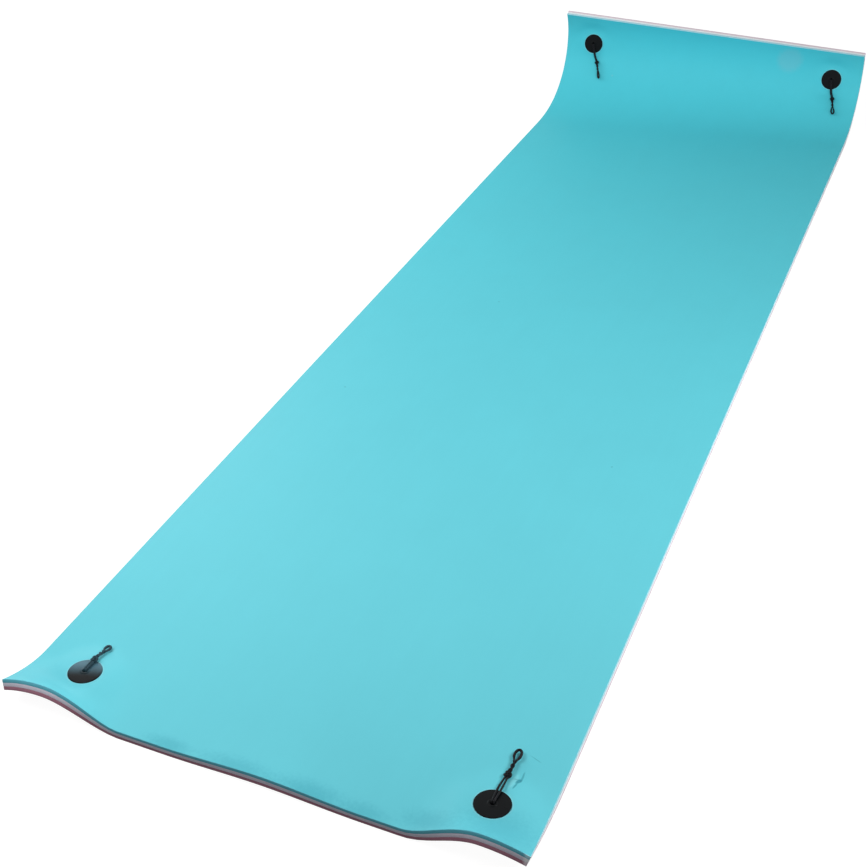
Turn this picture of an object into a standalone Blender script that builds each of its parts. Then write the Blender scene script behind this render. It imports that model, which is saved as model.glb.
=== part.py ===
"""Foam floating mat with a tether loop at each corner, lying as it does after it is unrolled.

Three foam sheets are bonded into one mat. Its back end still curls up, and its front
corners stand proud. Near each corner two plastic discs clamp the foam. A cord loop comes up
through them, is tied in a knot halfway, and ends in a small eye. It swivels in the discs'
bore and lifts at the bore's mouth. Metres, +Z up, +Y from the front end to the back end;
the origin is the middle of the mat's length and width, on the floor.
"""

import math

import bmesh
import bpy
from mathutils import Matrix, Vector

# Foam sheets
half_length = 3.05
mat_width = 1.83
layer_thickness = 0.012
bond_gap = 0.0003

# Curl that is left in the back end, unlike at the two sides
curl_length_left = 0.994
curl_length_right = 0.785
curl_angle_left = math.radians(114.0)
curl_angle_right = math.radians(109.0)
curl_growth = 1.6
curl_slices = 24

# Raised corners of the front end, unlike at the two sides, and the slight ripple between them
crest_height = 0.082
corner_height_left = 0.052
corner_height_right = 0.060
crest_inset_left = 0.155
crest_inset_right = 0.145
crest_width_left = 0.290
crest_width_right = 0.245
lift_reach_left = 0.220
lift_reach_right = 0.340
ripple_height = 0.012
ripple_offset = 0.050
ripple_width = 0.350
ripple_reach = 0.200

# Discs: flange, boss round the bore, and the stem that lines the hole in the foam
disc_radius = 0.0575
rim_height = 0.0024
rim_round = 0.0008
dome_height = 0.0038
boss_radius = 0.0150
boss_height = 0.0055
boss_round = 0.0010
bore_radius = 0.0085
stem_radius = 0.0118
stem_gap = 0.0010
hole_clearance = 0.0005
seat_gap = 0.0003
disc_steps = 24

# Distance of the discs' bore from the mat's sides and ends
side_inset_front_left = 0.206
side_inset_front_right = 0.165
side_inset_back_left = 0.1715
side_inset_back_right = 0.173
end_inset_front = 0.160
end_inset_back = 0.194

# Flat pad that the discs press into the foam, how much of its slope a front one keeps, and
# how far the knot beneath it stays off the floor
pad_margin = 0.004
front_slope_share = 0.5
floor_gap = 0.0017
probe_step = 0.001

# Tether cord
cord_radius = 0.0030
strand_gap = 0.0010
cord_gap = 0.0003
pivot_clearance = 0.0012
leg_length = 0.110
short_leg_length = 0.040
back_left_drift = math.radians(17.0)
back_right_drift = math.radians(12.0)
back_stand_off = math.radians(3.0)
front_stand_off = math.radians(1.5)
leg_points = 9
strand_faces = 8

# Knots in the cord
knot_radius = 0.0076
knot_wind_radius = 0.0036
knot_points = 36
knot_lift = 0.0016

# Twisted neck and the eye at the tether's end, both smaller where it is gathered up
neck_length = 0.046
short_neck_length = 0.040
neck_turns = 1
neck_points = 11
neck_height = 0.0075
eye_length = 0.044
eye_width = 0.024
short_eye_length = 0.030
short_eye_width = 0.020
eye_height = 0.0060
eye_points = 17
lay_step = 0.004
lay_margin = 0.060

# Steps of the foam's net between its main lines
middle_steps = 2
slope_steps = 3
pad_steps = 1
edge_steps = 2
reach_steps = 3
flat_steps = 3
curl_steps = 14

layer_pitch = layer_thickness + bond_gap
mat_thickness = 3 * layer_thickness + 2 * bond_gap
half_width = mat_width / 2
mat_length = 2 * half_length
pad_half = disc_radius + pad_margin
pad_blend = end_inset_front - pad_half
strand_offset = cord_radius + strand_gap / 2
pivot_height = seat_gap + boss_height + cord_radius + pivot_clearance
knot_half_height = knot_wind_radius + cord_radius
knot_height = knot_half_height + knot_lift
knot_reach = knot_radius + knot_wind_radius + cord_radius
tether_reach = leg_length + 2 * knot_reach + neck_length + eye_length
pad_clearance = seat_gap + boss_height + cord_gap + 2 * knot_half_height + floor_gap

# Plan of the eye: sideways as a share of its half width, forward as a share of its length
eye_shares = [(0.55, 0.14), (0.92, 0.40), (0.97, 0.66), (0.66, 0.90), (0.0, 1.0)]

# Side of the front end: height of its corner, the crest's inset and width, reach of the lift
front_rises = {
    -1: (corner_height_left, crest_inset_left, crest_width_left, lift_reach_left),
    1: (corner_height_right, crest_inset_right, crest_width_right, lift_reach_right),
}

# Corner name: side, end, tether's kind, its drift from straight along the mat, and the angle
# at which it stands off the foam
corners = {
    "front_left": (-1, 0, "gathered", 0.0, front_stand_off),
    "front_right": (1, 0, "drawn_out", 0.0, front_stand_off),
    "back_left": (-1, 1, "drawn_out", back_left_drift, back_stand_off),
    "back_right": (1, 1, "drawn_out", back_right_drift, back_stand_off),
}

# Kind of tether: lengths of its legs and neck, length and width of its eye
tether_kinds = {
    "gathered": (short_leg_length, short_neck_length, short_eye_length, short_eye_width),
    "drawn_out": (leg_length, neck_length, eye_length, eye_width),
}

# Corner name: distance of the bore from the mat's side
side_insets = {
    "front_left": side_inset_front_left,
    "front_right": side_inset_front_right,
    "back_left": side_inset_back_left,
    "back_right": side_inset_back_right,
}


def ease(share):
    """Runs smoothly from 0 to 1 while the share does."""
    share = min(max(share, 0.0), 1.0)
    return share * share * (3 - 2 * share)


def fade(distance, reach):
    """Falls from 1 to 0 over a reach and stays there."""
    return max(0.0, 1 - distance / reach) ** 2


def front_lift(across, along):
    """Height of the foam's underside over the floor at the front end."""
    corner_height, inset, width, reach = front_rises[1 if across > 0 else -1]
    crest = half_width - inset
    side = abs(across)
    if side < crest:
        height = crest_height * ease(1 - (crest - side) / width)
    else:
        height = crest_height - (crest_height - corner_height) * ((side - crest) / inset) ** 2
    ripple = ripple_height * ease(1 - abs(across - ripple_offset) / ripple_width)
    return height * fade(along, reach) + ripple * fade(along, ripple_reach)


def free_surface(across, along):
    """Underside of the foam as it would lie without discs, from places along the sheet."""
    share = across / mat_width + 0.5
    length = curl_length_left + (curl_length_right - curl_length_left) * share
    angle = curl_angle_left + (curl_angle_right - curl_angle_left) * share
    start = mat_length - length
    if along <= start:
        return Vector((across, along, front_lift(across, along)))
    slice_length = (along - start) / curl_slices
    forward = start
    up = 0.0
    for number in range(curl_slices):
        bend = angle * ((number + 0.5) * slice_length / length) ** curl_growth
        forward += slice_length * math.cos(bend)
        up += slice_length * math.sin(bend)
    return Vector((across, forward, up))


def slopes(surface, across, along):
    """Unit vectors across, along and square to a surface."""
    side_step = surface(across + probe_step, along) - surface(across - probe_step, along)
    long_step = surface(across, along + probe_step) - surface(across, along - probe_step)
    side = side_step.normalized()
    normal = side_step.cross(long_step).normalized()
    return side, normal.cross(side), normal


def disc_place(corner):
    """Where a corner's discs sit, across and along the sheet."""
    side, end, _, _, _ = corners[corner]
    along = mat_length - end_inset_back if end else end_inset_front
    return side * (half_width - side_insets[corner]), along


def pad_axes(corner):
    """Unit vectors across, along and square to a corner's pad, which lies flatter in front."""
    side, forward, normal = slopes(free_surface, *disc_place(corner))
    if corners[corner][1]:
        return side, forward, normal
    lean = Vector((normal.x, normal.y, 0.0)) * front_slope_share
    normal = (lean + Vector((0.0, 0.0, normal.z))).normalized()
    side = (side - normal * side.dot(normal)).normalized()
    return side, normal.cross(side), normal


def pad_centre(corner):
    """Middle of a corner's pad on the underside, which the knot beneath holds off the floor."""
    centre = free_surface(*disc_place(corner))
    return Vector((centre.x, centre.y, max(centre.z, pad_clearance)))


pads = {}
for corner_name in corners:
    pads[corner_name] = (disc_place(corner_name), pad_centre(corner_name), pad_axes(corner_name))


def sheet_surface(across, along):
    """Underside of the foam, flattened where the discs clamp it and held up by the floor."""
    point = free_surface(across, along)
    for (pad_across, pad_along), centre, (side, forward, _) in pads.values():
        reach = max(abs(across - pad_across), abs(along - pad_along))
        if reach < pad_half + pad_blend:
            flat = centre + side * (across - pad_across) + forward * (along - pad_along)
            point = flat.lerp(point, ease((reach - pad_half) / pad_blend))
    point.z = max(point.z, 0.0)
    return point


def foam_point(across, along, height):
    """Point at a height over the foam's underside, square to it, in the part's frame."""
    normal = slopes(sheet_surface, across, along)[2]
    point = sheet_surface(across, along) + normal * height
    return point - Vector((0, half_length, 0))


def lay_line(corner):
    """Stations of a tether's middle line over the foam: way from the bore, place and normal."""
    _, end, _, drift, _ = corners[corner]
    heading = math.pi - drift if end else drift
    level = mat_thickness + knot_height
    stations = []
    for number in range(math.ceil((tether_reach + lay_margin) / lay_step)):
        across, along = disc_place(corner)
        across += number * lay_step * math.sin(heading)
        along += number * lay_step * math.cos(heading)
        point = foam_point(across, along, level)
        way = stations[-1][0] + (point - stations[-1][1]).length if stations else 0.0
        stations.append((way, point, slopes(sheet_surface, across, along)[2]))
    return stations


def tether_point(corner, ahead, sideways, height):
    """Point on a tether: ahead of the bore, to the tether's right, over the foam's top."""
    stations = lay_lines[corner]
    place = 0
    while place < len(stations) - 2 and stations[place + 1][0] < ahead:
        place += 1
    way, point, normal = stations[place]
    next_way, next_point, next_normal = stations[place + 1]
    share = (ahead - way) / (next_way - way)
    up = normal.lerp(next_normal, share).normalized()
    right = (next_point - point).cross(up).normalized()
    rise = height - knot_height + ahead * math.tan(corners[corner][4])
    return point.lerp(next_point, share) + right * sideways + up * rise


lay_lines = {corner_name: lay_line(corner_name) for corner_name in corners}


def smooth_route(route, count):
    """Evenly spaced points on a smooth curve through the points of a route."""
    ends = [route[0] * 2 - route[1]] + route + [route[-1] * 2 - route[-2]]
    fine = []
    for before, start, stop, after in zip(ends, ends[1:], ends[2:], ends[3:]):
        for number in range(count):
            step = number / count
            fine.append(0.5 * (2 * start + (stop - before) * step
                               + (2 * before - 5 * start + 4 * stop - after) * step ** 2
                               + (3 * start - before - 3 * stop + after) * step ** 3))
    fine.append(route[-1])
    travelled = [0.0]
    for first, second in zip(fine, fine[1:]):
        travelled.append(travelled[-1] + (second - first).length)
    points = []
    place = 0
    for number in range(count):
        target = travelled[-1] * number / (count - 1)
        while place < len(fine) - 2 and travelled[place + 1] < target:
            place += 1
        share = (target - travelled[place]) / (travelled[place + 1] - travelled[place])
        points.append(fine[place].lerp(fine[place + 1], share))
    return points


def new_collection(name):
    """Collection of the scene for one kind of object."""
    collection = bpy.data.collections.new(name)
    bpy.context.scene.collection.children.link(collection)
    return collection


def finish_material(name, colour, roughness, metallic):
    """Principled material of one colour."""
    material = bpy.data.materials.new(name)
    material.use_nodes = True
    shader = material.node_tree.nodes["Principled BSDF"]
    shader.inputs["Base Color"].default_value = (*colour, 1.0)
    shader.inputs["Roughness"].default_value = roughness
    shader.inputs["Metallic"].default_value = metallic
    return material


def add_object(name, data, collection, material=None):
    """Object of a mesh or curve in a collection, with its material."""
    item = bpy.data.objects.new(name, data)
    if material:
        data.materials.append(material)
    collection.objects.link(item)
    return item


def bore_cutter(corner, collection):
    """Cylinder that cuts one corner's hole through the foam."""
    mesh = bpy.data.meshes.new(corner + "_hole_cutter")
    shape = bmesh.new()
    radius = stem_radius + hole_clearance
    bmesh.ops.create_cone(shape, cap_ends=True, segments=disc_steps, radius1=radius,
                          radius2=radius, depth=mat_thickness + 2 * pad_margin)
    shape.to_mesh(mesh)
    shape.free()
    cutter = add_object(corner + "_hole_cutter", mesh, collection)
    half_step = Matrix.Rotation(math.pi / disc_steps, 4, "Z")
    cutter.matrix_world = disc_matrix(corner, mat_thickness / 2, 1) @ half_step
    cutter.hide_render = True
    cutter.display_type = "WIRE"
    return cutter


def disc_matrix(corner, height, facing):
    """Frame at a height over the underside on the bore's axis, +Z out of the top or bottom."""
    side, forward, normal = pads[corner][2]
    axes = Matrix((side * facing, forward, normal * facing)).transposed().to_4x4()
    place = pads[corner][1] + normal * height - Vector((0, half_length, 0))
    return Matrix.Translation(place) @ axes


def spread(start, stop, count):
    """Even lines from a start up to, but without, a stop."""
    return [start + (stop - start) * number / count for number in range(count)]


def curl_lines(start, stop):
    """Lines over the curl that divide its bend evenly."""
    return [start + (stop - start) * (number / curl_steps) ** (1 / curl_growth)
            for number in range(curl_steps)]


def side_lines(side, end):
    """Lines of the foam's net from the middle to one side, as they are at one end."""
    disc = next(abs(disc_place(corner)[0]) for corner in corners
                if corners[corner][:2] == (side, end))
    _, inset, width, _ = front_rises[side]
    crest_foot = half_width - inset - width
    return (spread(0.0, crest_foot, middle_steps)
            + spread(crest_foot, disc - pad_half, slope_steps)
            + spread(disc - pad_half, disc + pad_half, pad_steps)
            + spread(disc + pad_half, half_width, edge_steps) + [half_width])


def across_lines(end):
    """Lines of the foam's net across the sheet, as they are at one end."""
    return [-line for line in reversed(side_lines(-1, end)[1:])] + side_lines(1, end)


def along_lines():
    """Lines of the foam's net along the sheet."""
    lift_end = max(lift_reach_left, lift_reach_right)
    curl_start = mat_length - max(curl_length_left, curl_length_right)
    back_disc = mat_length - end_inset_back
    return (spread(0.0, end_inset_front - pad_half, edge_steps)
            + spread(end_inset_front - pad_half, end_inset_front + pad_half, pad_steps)
            + spread(end_inset_front + pad_half, lift_end, reach_steps)
            + spread(lift_end, curl_start, flat_steps)
            + curl_lines(curl_start, back_disc - pad_half)
            + spread(back_disc - pad_half, back_disc + pad_half, pad_steps)
            + spread(back_disc + pad_half, mat_length, edge_steps) + [mat_length])


def foam_layer(name, number, collection, material, cutters):
    """One foam sheet as a net laid on the mat's surface, thickened and cut for the stems."""
    front, back, along = across_lines(0), across_lines(1), along_lines()
    mesh = bpy.data.meshes.new(name)
    shape = bmesh.new()
    bmesh.ops.create_grid(shape, x_segments=len(front) - 1, y_segments=len(along) - 1, size=0.5)
    place = shape.verts.layers.float_vector.new("place")
    for vertex in shape.verts:
        column = round((vertex.co.x + 0.5) * (len(front) - 1))
        row = round((vertex.co.y + 0.5) * (len(along) - 1))
        slant = (back[column] - front[column]) * along[row] / mat_length
        vertex[place] = (front[column] + slant, along[row], 0.0)
    bmesh.ops.triangulate(shape, faces=shape.faces[:], quad_method="FIXED")
    lower = set(shape.verts)
    bmesh.ops.extrude_face_region(shape, geom=shape.faces[:])
    for vertex in shape.verts:
        height = number * layer_pitch + (0.0 if vertex in lower else layer_thickness)
        vertex.co = foam_point(vertex[place].x, vertex[place].y, height)
    shape.verts.layers.float_vector.remove(place)
    bmesh.ops.triangulate(shape, faces=shape.faces[:])
    bmesh.ops.recalc_face_normals(shape, faces=shape.faces[:])
    shape.to_mesh(mesh)
    shape.free()
    sheet = add_object(name, mesh, collection, material)
    for cutter in cutters:
        cut = sheet.modifiers.new(cutter.name, "BOOLEAN")
        cut.operation = "DIFFERENCE"
        cut.object = cutter
    return sheet


def disc_profile(stem_length):
    """Half section of a disc: over the boss and dome, round the rim and down the stem."""
    return [
        (bore_radius, boss_height - boss_round),
        (bore_radius + boss_round, boss_height),
        (boss_radius - boss_round, boss_height),
        (boss_radius, boss_height - boss_round),
        (boss_radius, dome_height),
        ((boss_radius + disc_radius) / 2, (dome_height * 2 + rim_height) / 3),
        (disc_radius - rim_round, rim_height),
        (disc_radius, rim_height - rim_round),
        (disc_radius, 0.0),
        (stem_radius, 0.0),
        (stem_radius, -stem_length),
        (bore_radius, -stem_length),
    ]


def turned_disc(name, corner, facing, collection, material):
    """Disc turned about the bore's axis, seated on the foam's top or underside."""
    stem_length = mat_thickness / 2 + seat_gap - stem_gap / 2
    profile = disc_profile(stem_length)
    mesh = bpy.data.meshes.new(name)
    edges = [(index, (index + 1) % len(profile)) for index in range(len(profile))]
    mesh.from_pydata([(radius, 0.0, height) for radius, height in profile], edges, [])
    disc = add_object(name, mesh, collection, material)
    turn = disc.modifiers.new("turn", "SCREW")
    turn.steps = disc_steps
    turn.render_steps = disc_steps
    turn.use_merge_vertices = True
    turn.merge_threshold = bond_gap / 10
    height = mat_thickness + seat_gap if facing > 0 else -seat_gap
    disc.matrix_world = disc_matrix(corner, height, facing)
    return disc


def cord_tube(name, points, collection, material, closed=False):
    """Cord along points, with flat ends unless it closes on itself."""
    curve = bpy.data.curves.new(name, "CURVE")
    curve.dimensions = "3D"
    curve.bevel_depth = cord_radius
    curve.bevel_resolution = 2
    curve.use_fill_caps = not closed
    spline = curve.splines.new("POLY")
    spline.points.add(len(points) - 1)
    for target, point in zip(spline.points, points):
        target.co = (*point, 1.0)
    spline.use_cyclic_u = closed
    return add_object(name, curve, collection, material)


def knot_route(frame):
    """Three crossing turns of cord about the frame's +Z, as an overhand knot lies pulled up."""
    route = []
    for number in range(knot_points):
        turn = math.tau * number / knot_points
        radius = knot_radius + knot_wind_radius * math.cos(3 * turn)
        route.append(frame @ Vector((radius * math.sin(2 * turn), radius * math.cos(2 * turn),
                                     -knot_wind_radius * math.sin(3 * turn))))
    return route


def least_gap(name, points, closed):
    """Prints the least gap between a cord's surface and itself, apart from its own bends."""
    following = points[1:] + points[:1] if closed else points[1:]
    fine = [spot for first, second in zip(points, following)
            for spot in (first, (first + second) / 2)]
    travelled = [0.0]
    for first, second in zip(fine, fine[1:]):
        travelled.append(travelled[-1] + (second - first).length)
    gaps = []
    for first, start in enumerate(fine):
        for second in range(first + 1, len(fine)):
            along = travelled[second] - travelled[first]
            if closed:
                along = min(along, travelled[-1] - along)
            if along > 2 * math.pi * cord_radius:
                gaps.append((fine[second] - start).length - 2 * cord_radius)
    print(name, "least gap to itself, mm:", round(min(gaps) * 1000, 2))


def knot_level(corner):
    """Height of the knot's middle over the foam's top, more where it lies on the disc."""
    on_disc = tether_kinds[corners[corner][2]][0] < disc_radius
    return knot_height + (dome_height + seat_gap - knot_lift if on_disc else 0.0)


def seat_on_knot(corner, knot, start, stop, sideways):
    """Place ahead, on the way from start to stop, where a strand's flat end meets the knot."""
    level = knot_level(corner)
    winds = knot + [(first + second) / 2 for first, second in zip(knot, knot[1:] + knot[:1])]
    turns = [math.tau * number / strand_faces for number in range(strand_faces)]
    steps = math.ceil(3 * abs(stop - start) / cord_gap)
    for number in range(steps):
        ahead = start + (stop - start) * number / steps
        face = [tether_point(corner, ahead, sideways + cord_radius * math.cos(turn),
                             level + cord_radius * math.sin(turn)) for turn in turns]
        face.append(tether_point(corner, ahead, sideways, level))
        if min((wind - spot).length for wind in winds for spot in face) < cord_radius + 2.4 * cord_gap:
            return ahead
    return stop


def leg_route(corner, sideways, end):
    """One strand of the tether from the bore's mouth over the disc's rim to the knot."""
    level = knot_level(corner)
    over_rim = (pivot_height + level) / 2
    route = [tether_point(corner, 0.0, sideways, pivot_height),
             tether_point(corner, boss_radius, sideways, pivot_height),
             tether_point(corner, (boss_radius + end) / 2, sideways, over_rim),
             tether_point(corner, end, sideways, level)]
    return smooth_route(route, leg_points)


def loop_route(corner, start, first):
    """Cord from the knot, twisted up the neck, round the eye and twisted back."""
    level = knot_level(corner)
    _, neck, length, width = tether_kinds[corners[corner][2]]
    twist_start = start + 2 * cord_radius
    outward = [(start, math.pi, level)]
    for number in range(neck_points):
        share = number / (neck_points - 1)
        turn = math.pi + math.tau * neck_turns * share
        ahead = twist_start + (first + neck - twist_start) * share
        height = level + (neck_height - level) * ease(share)
        outward.append((ahead, turn, height))
    strands = []
    for phase in (0.0, math.pi):
        strands.append([tether_point(corner, ahead, strand_offset * math.cos(turn + phase),
                                     height + strand_offset * math.sin(turn + phase))
                        for ahead, turn, height in outward])
    eye = []
    for side in (-1, 1):
        half = [(side * wide * width / 2, first + neck + far * length)
                for wide, far in eye_shares]
        eye.append([tether_point(corner, ahead, sideways, eye_height) for sideways, ahead in half])
    bend = smooth_route([strands[0][-1]] + eye[0] + eye[1][-2::-1] + [strands[1][-1]], eye_points)
    return strands[0][:-1] + bend + strands[1][-2::-1]


def build_tether(corner, collection, material):
    """The cord of one corner: strands in the bore, stopper knot, legs, knot and end loop."""
    legs, neck, _, _ = tether_kinds[corners[corner][2]]
    knot_centre = legs + knot_reach
    stop_height = -(seat_gap + boss_height + cord_gap / 2 + knot_half_height)
    stopper = knot_route(disc_matrix(corner, stop_height, 1))
    cord_tube(corner + "_stopper_knot", stopper, collection, material, closed=True)
    for label, sideways in (("left", -strand_offset), ("right", strand_offset)):
        low = -mat_thickness - seat_gap - boss_height - cord_gap / 2
        high = pivot_height - cord_radius - cord_gap
        strand = [tether_point(corner, 0.0, sideways, level) for level in (low, high)]
        cord_tube(corner + "_bore_cord_" + label, strand, collection, material)
    level = knot_level(corner)
    centre = tether_point(corner, knot_centre, 0.0, level)
    ahead = (tether_point(corner, knot_centre + probe_step, 0.0, level) - centre).normalized()
    right = tether_point(corner, knot_centre, probe_step, level) - centre
    up = right.cross(ahead).normalized()
    frame = Matrix((ahead.cross(up), ahead, up)).transposed().to_4x4()
    frame = Matrix.Translation(centre) @ frame
    knot = knot_route(frame)
    cord_tube(corner + "_tether_knot", knot, collection, material, closed=True)
    least_gap(corner + "_tether_knot", knot, True)
    for label, sideways in (("left", -strand_offset), ("right", strand_offset)):
        end = seat_on_knot(corner, knot, boss_radius, knot_centre, sideways)
        cord_tube(corner + "_tether_leg_" + label, leg_route(corner, sideways, end), collection,
                  material)
    outer = knot_centre + knot_reach + neck
    start = max(seat_on_knot(corner, knot, outer, knot_centre, sideways)
                for sideways in (-strand_offset, strand_offset))
    loop = loop_route(corner, start, knot_centre + knot_reach)
    cord_tube(corner + "_tether_loop", loop, collection, material)
    least_gap(corner + "_tether_loop", loop, False)
    pivot = tether_point(corner, 0.0, 0.0, pivot_height)
    heading = tether_point(corner, probe_step, 0.0, pivot_height) - pivot
    normal = pads[corner][2][2]
    axis = heading.cross(normal).normalized()
    print(corner, "bore axis", tuple(round(value, 6) for value in normal))
    print(corner, "pivot", tuple(round(value, 6) for value in pivot))
    print(corner, "lift axis", tuple(round(value, 6) for value in axis))


def main():
    """Clears the scene and builds the mat."""
    for item in list(bpy.data.objects):
        bpy.data.objects.remove(item)
    parts = new_collection("foam_floating_mat")
    cutters = new_collection("cutters")
    teal = finish_material("teal_foam", (0.12, 0.62, 0.72), 0.55, 0.0)
    white = finish_material("white_foam", (0.80, 0.80, 0.82), 0.60, 0.0)
    rose = finish_material("rose_foam", (0.55, 0.05, 0.13), 0.60, 0.0)
    black = finish_material("black_plastic", (0.015, 0.016, 0.017), 0.40, 0.0)
    cord = finish_material("black_cord", (0.010, 0.010, 0.012), 0.60, 0.0)
    holes = [bore_cutter(corner, cutters) for corner in corners]
    foam_layer("foam_layer_bottom", 0, parts, rose, holes)
    foam_layer("foam_layer_middle", 1, parts, white, holes)
    foam_layer("foam_layer_top", 2, parts, teal, holes)
    for corner in corners:
        turned_disc(corner + "_top_disc", corner, 1, parts, black)
        turned_disc(corner + "_bottom_disc", corner, -1, parts, black)
        build_tether(corner, parts, cord)


main()
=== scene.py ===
"""Looks of a long foam floating mat, lying as it does after it is unrolled.

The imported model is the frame. The foam, the clamp discs and the cords are made again here
with their full surface, and each piece rides on the body that carries it. Metres, +Z up, +Y
from the mat's front end to its curled back end; the origin is the middle of the mat's
length and width, on the floor.
"""

import logging
import math
from collections.abc import Callable
from dataclasses import dataclass, field
from enum import Enum

import bmesh
import bpy
import numpy as np
from mathutils import Matrix, Vector


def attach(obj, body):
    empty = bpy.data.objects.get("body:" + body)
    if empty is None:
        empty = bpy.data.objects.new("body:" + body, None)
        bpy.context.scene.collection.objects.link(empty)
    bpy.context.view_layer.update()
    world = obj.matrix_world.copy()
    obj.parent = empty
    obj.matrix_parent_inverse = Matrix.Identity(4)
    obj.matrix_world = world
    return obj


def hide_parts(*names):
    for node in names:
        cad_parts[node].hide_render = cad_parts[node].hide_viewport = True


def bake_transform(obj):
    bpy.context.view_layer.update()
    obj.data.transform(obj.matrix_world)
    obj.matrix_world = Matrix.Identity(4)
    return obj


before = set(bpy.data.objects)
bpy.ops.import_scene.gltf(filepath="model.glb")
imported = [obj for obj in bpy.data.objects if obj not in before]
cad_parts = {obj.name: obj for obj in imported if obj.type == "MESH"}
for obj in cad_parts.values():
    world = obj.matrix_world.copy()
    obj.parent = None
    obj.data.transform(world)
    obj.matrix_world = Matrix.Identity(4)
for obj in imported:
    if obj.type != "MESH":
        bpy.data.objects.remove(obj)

log = logging.getLogger("foam_mat")
Array = np.ndarray
Colour = tuple[float, float, float]
Cloud = tuple[float, float, float]
WHITE: Colour = (1.0, 1.0, 1.0)
MAP_NAME = "along"
OFF_AXIS = (0.3, 0.2, 1.0)


class Corner(Enum):
    """A corner of the mat: its name, its side and whether it is at the back end."""

    FRONT_LEFT = ("front_left", -1, 0)
    FRONT_RIGHT = ("front_right", 1, 0)
    BACK_LEFT = ("back_left", -1, 1)
    BACK_RIGHT = ("back_right", 1, 1)

    @property
    def label(self) -> str:
        """Name that the corner's pieces start with."""
        return self.value[0]

    @property
    def side(self) -> int:
        """-1 on the left and 1 on the right."""
        return self.value[1]

    @property
    def back(self) -> bool:
        """True at the curled end."""
        return bool(self.value[2])

    @property
    def number(self) -> int:
        """Place of the corner in lists of one value per corner."""
        return list(Corner).index(self)


class Part(Enum):
    """Material slots of the record."""

    TEAL = "foam_teal"
    WHITE = "foam_white"
    ROSE = "foam_rose"
    DISC = "disc_plastic"
    CORD = "tether_cord"


class Form:
    """Number helpers that the shapes share."""

    @staticmethod
    def ease(share: Array | float) -> Array:
        """Runs smoothly from 0 to 1 while the share does."""
        share = np.clip(share, 0.0, 1.0)
        return share * share * (3 - 2 * share)

    @staticmethod
    def fade(distance: Array, reach: Array | float) -> Array:
        """Falls from 1 to 0 over a reach and stays there."""
        return np.clip(1 - distance / reach, 0.0, None) ** 2

    @staticmethod
    def unit(vectors: Array) -> Array:
        """The same vectors with length 1."""
        return vectors / np.linalg.norm(vectors, axis=-1, keepdims=True)

    @staticmethod
    def travelled(points: Array) -> Array:
        """Way from the first point to each point of a line."""
        steps = np.linalg.norm(np.diff(points, axis=0), axis=1)
        return np.concatenate([[0.0], np.cumsum(steps)])


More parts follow.
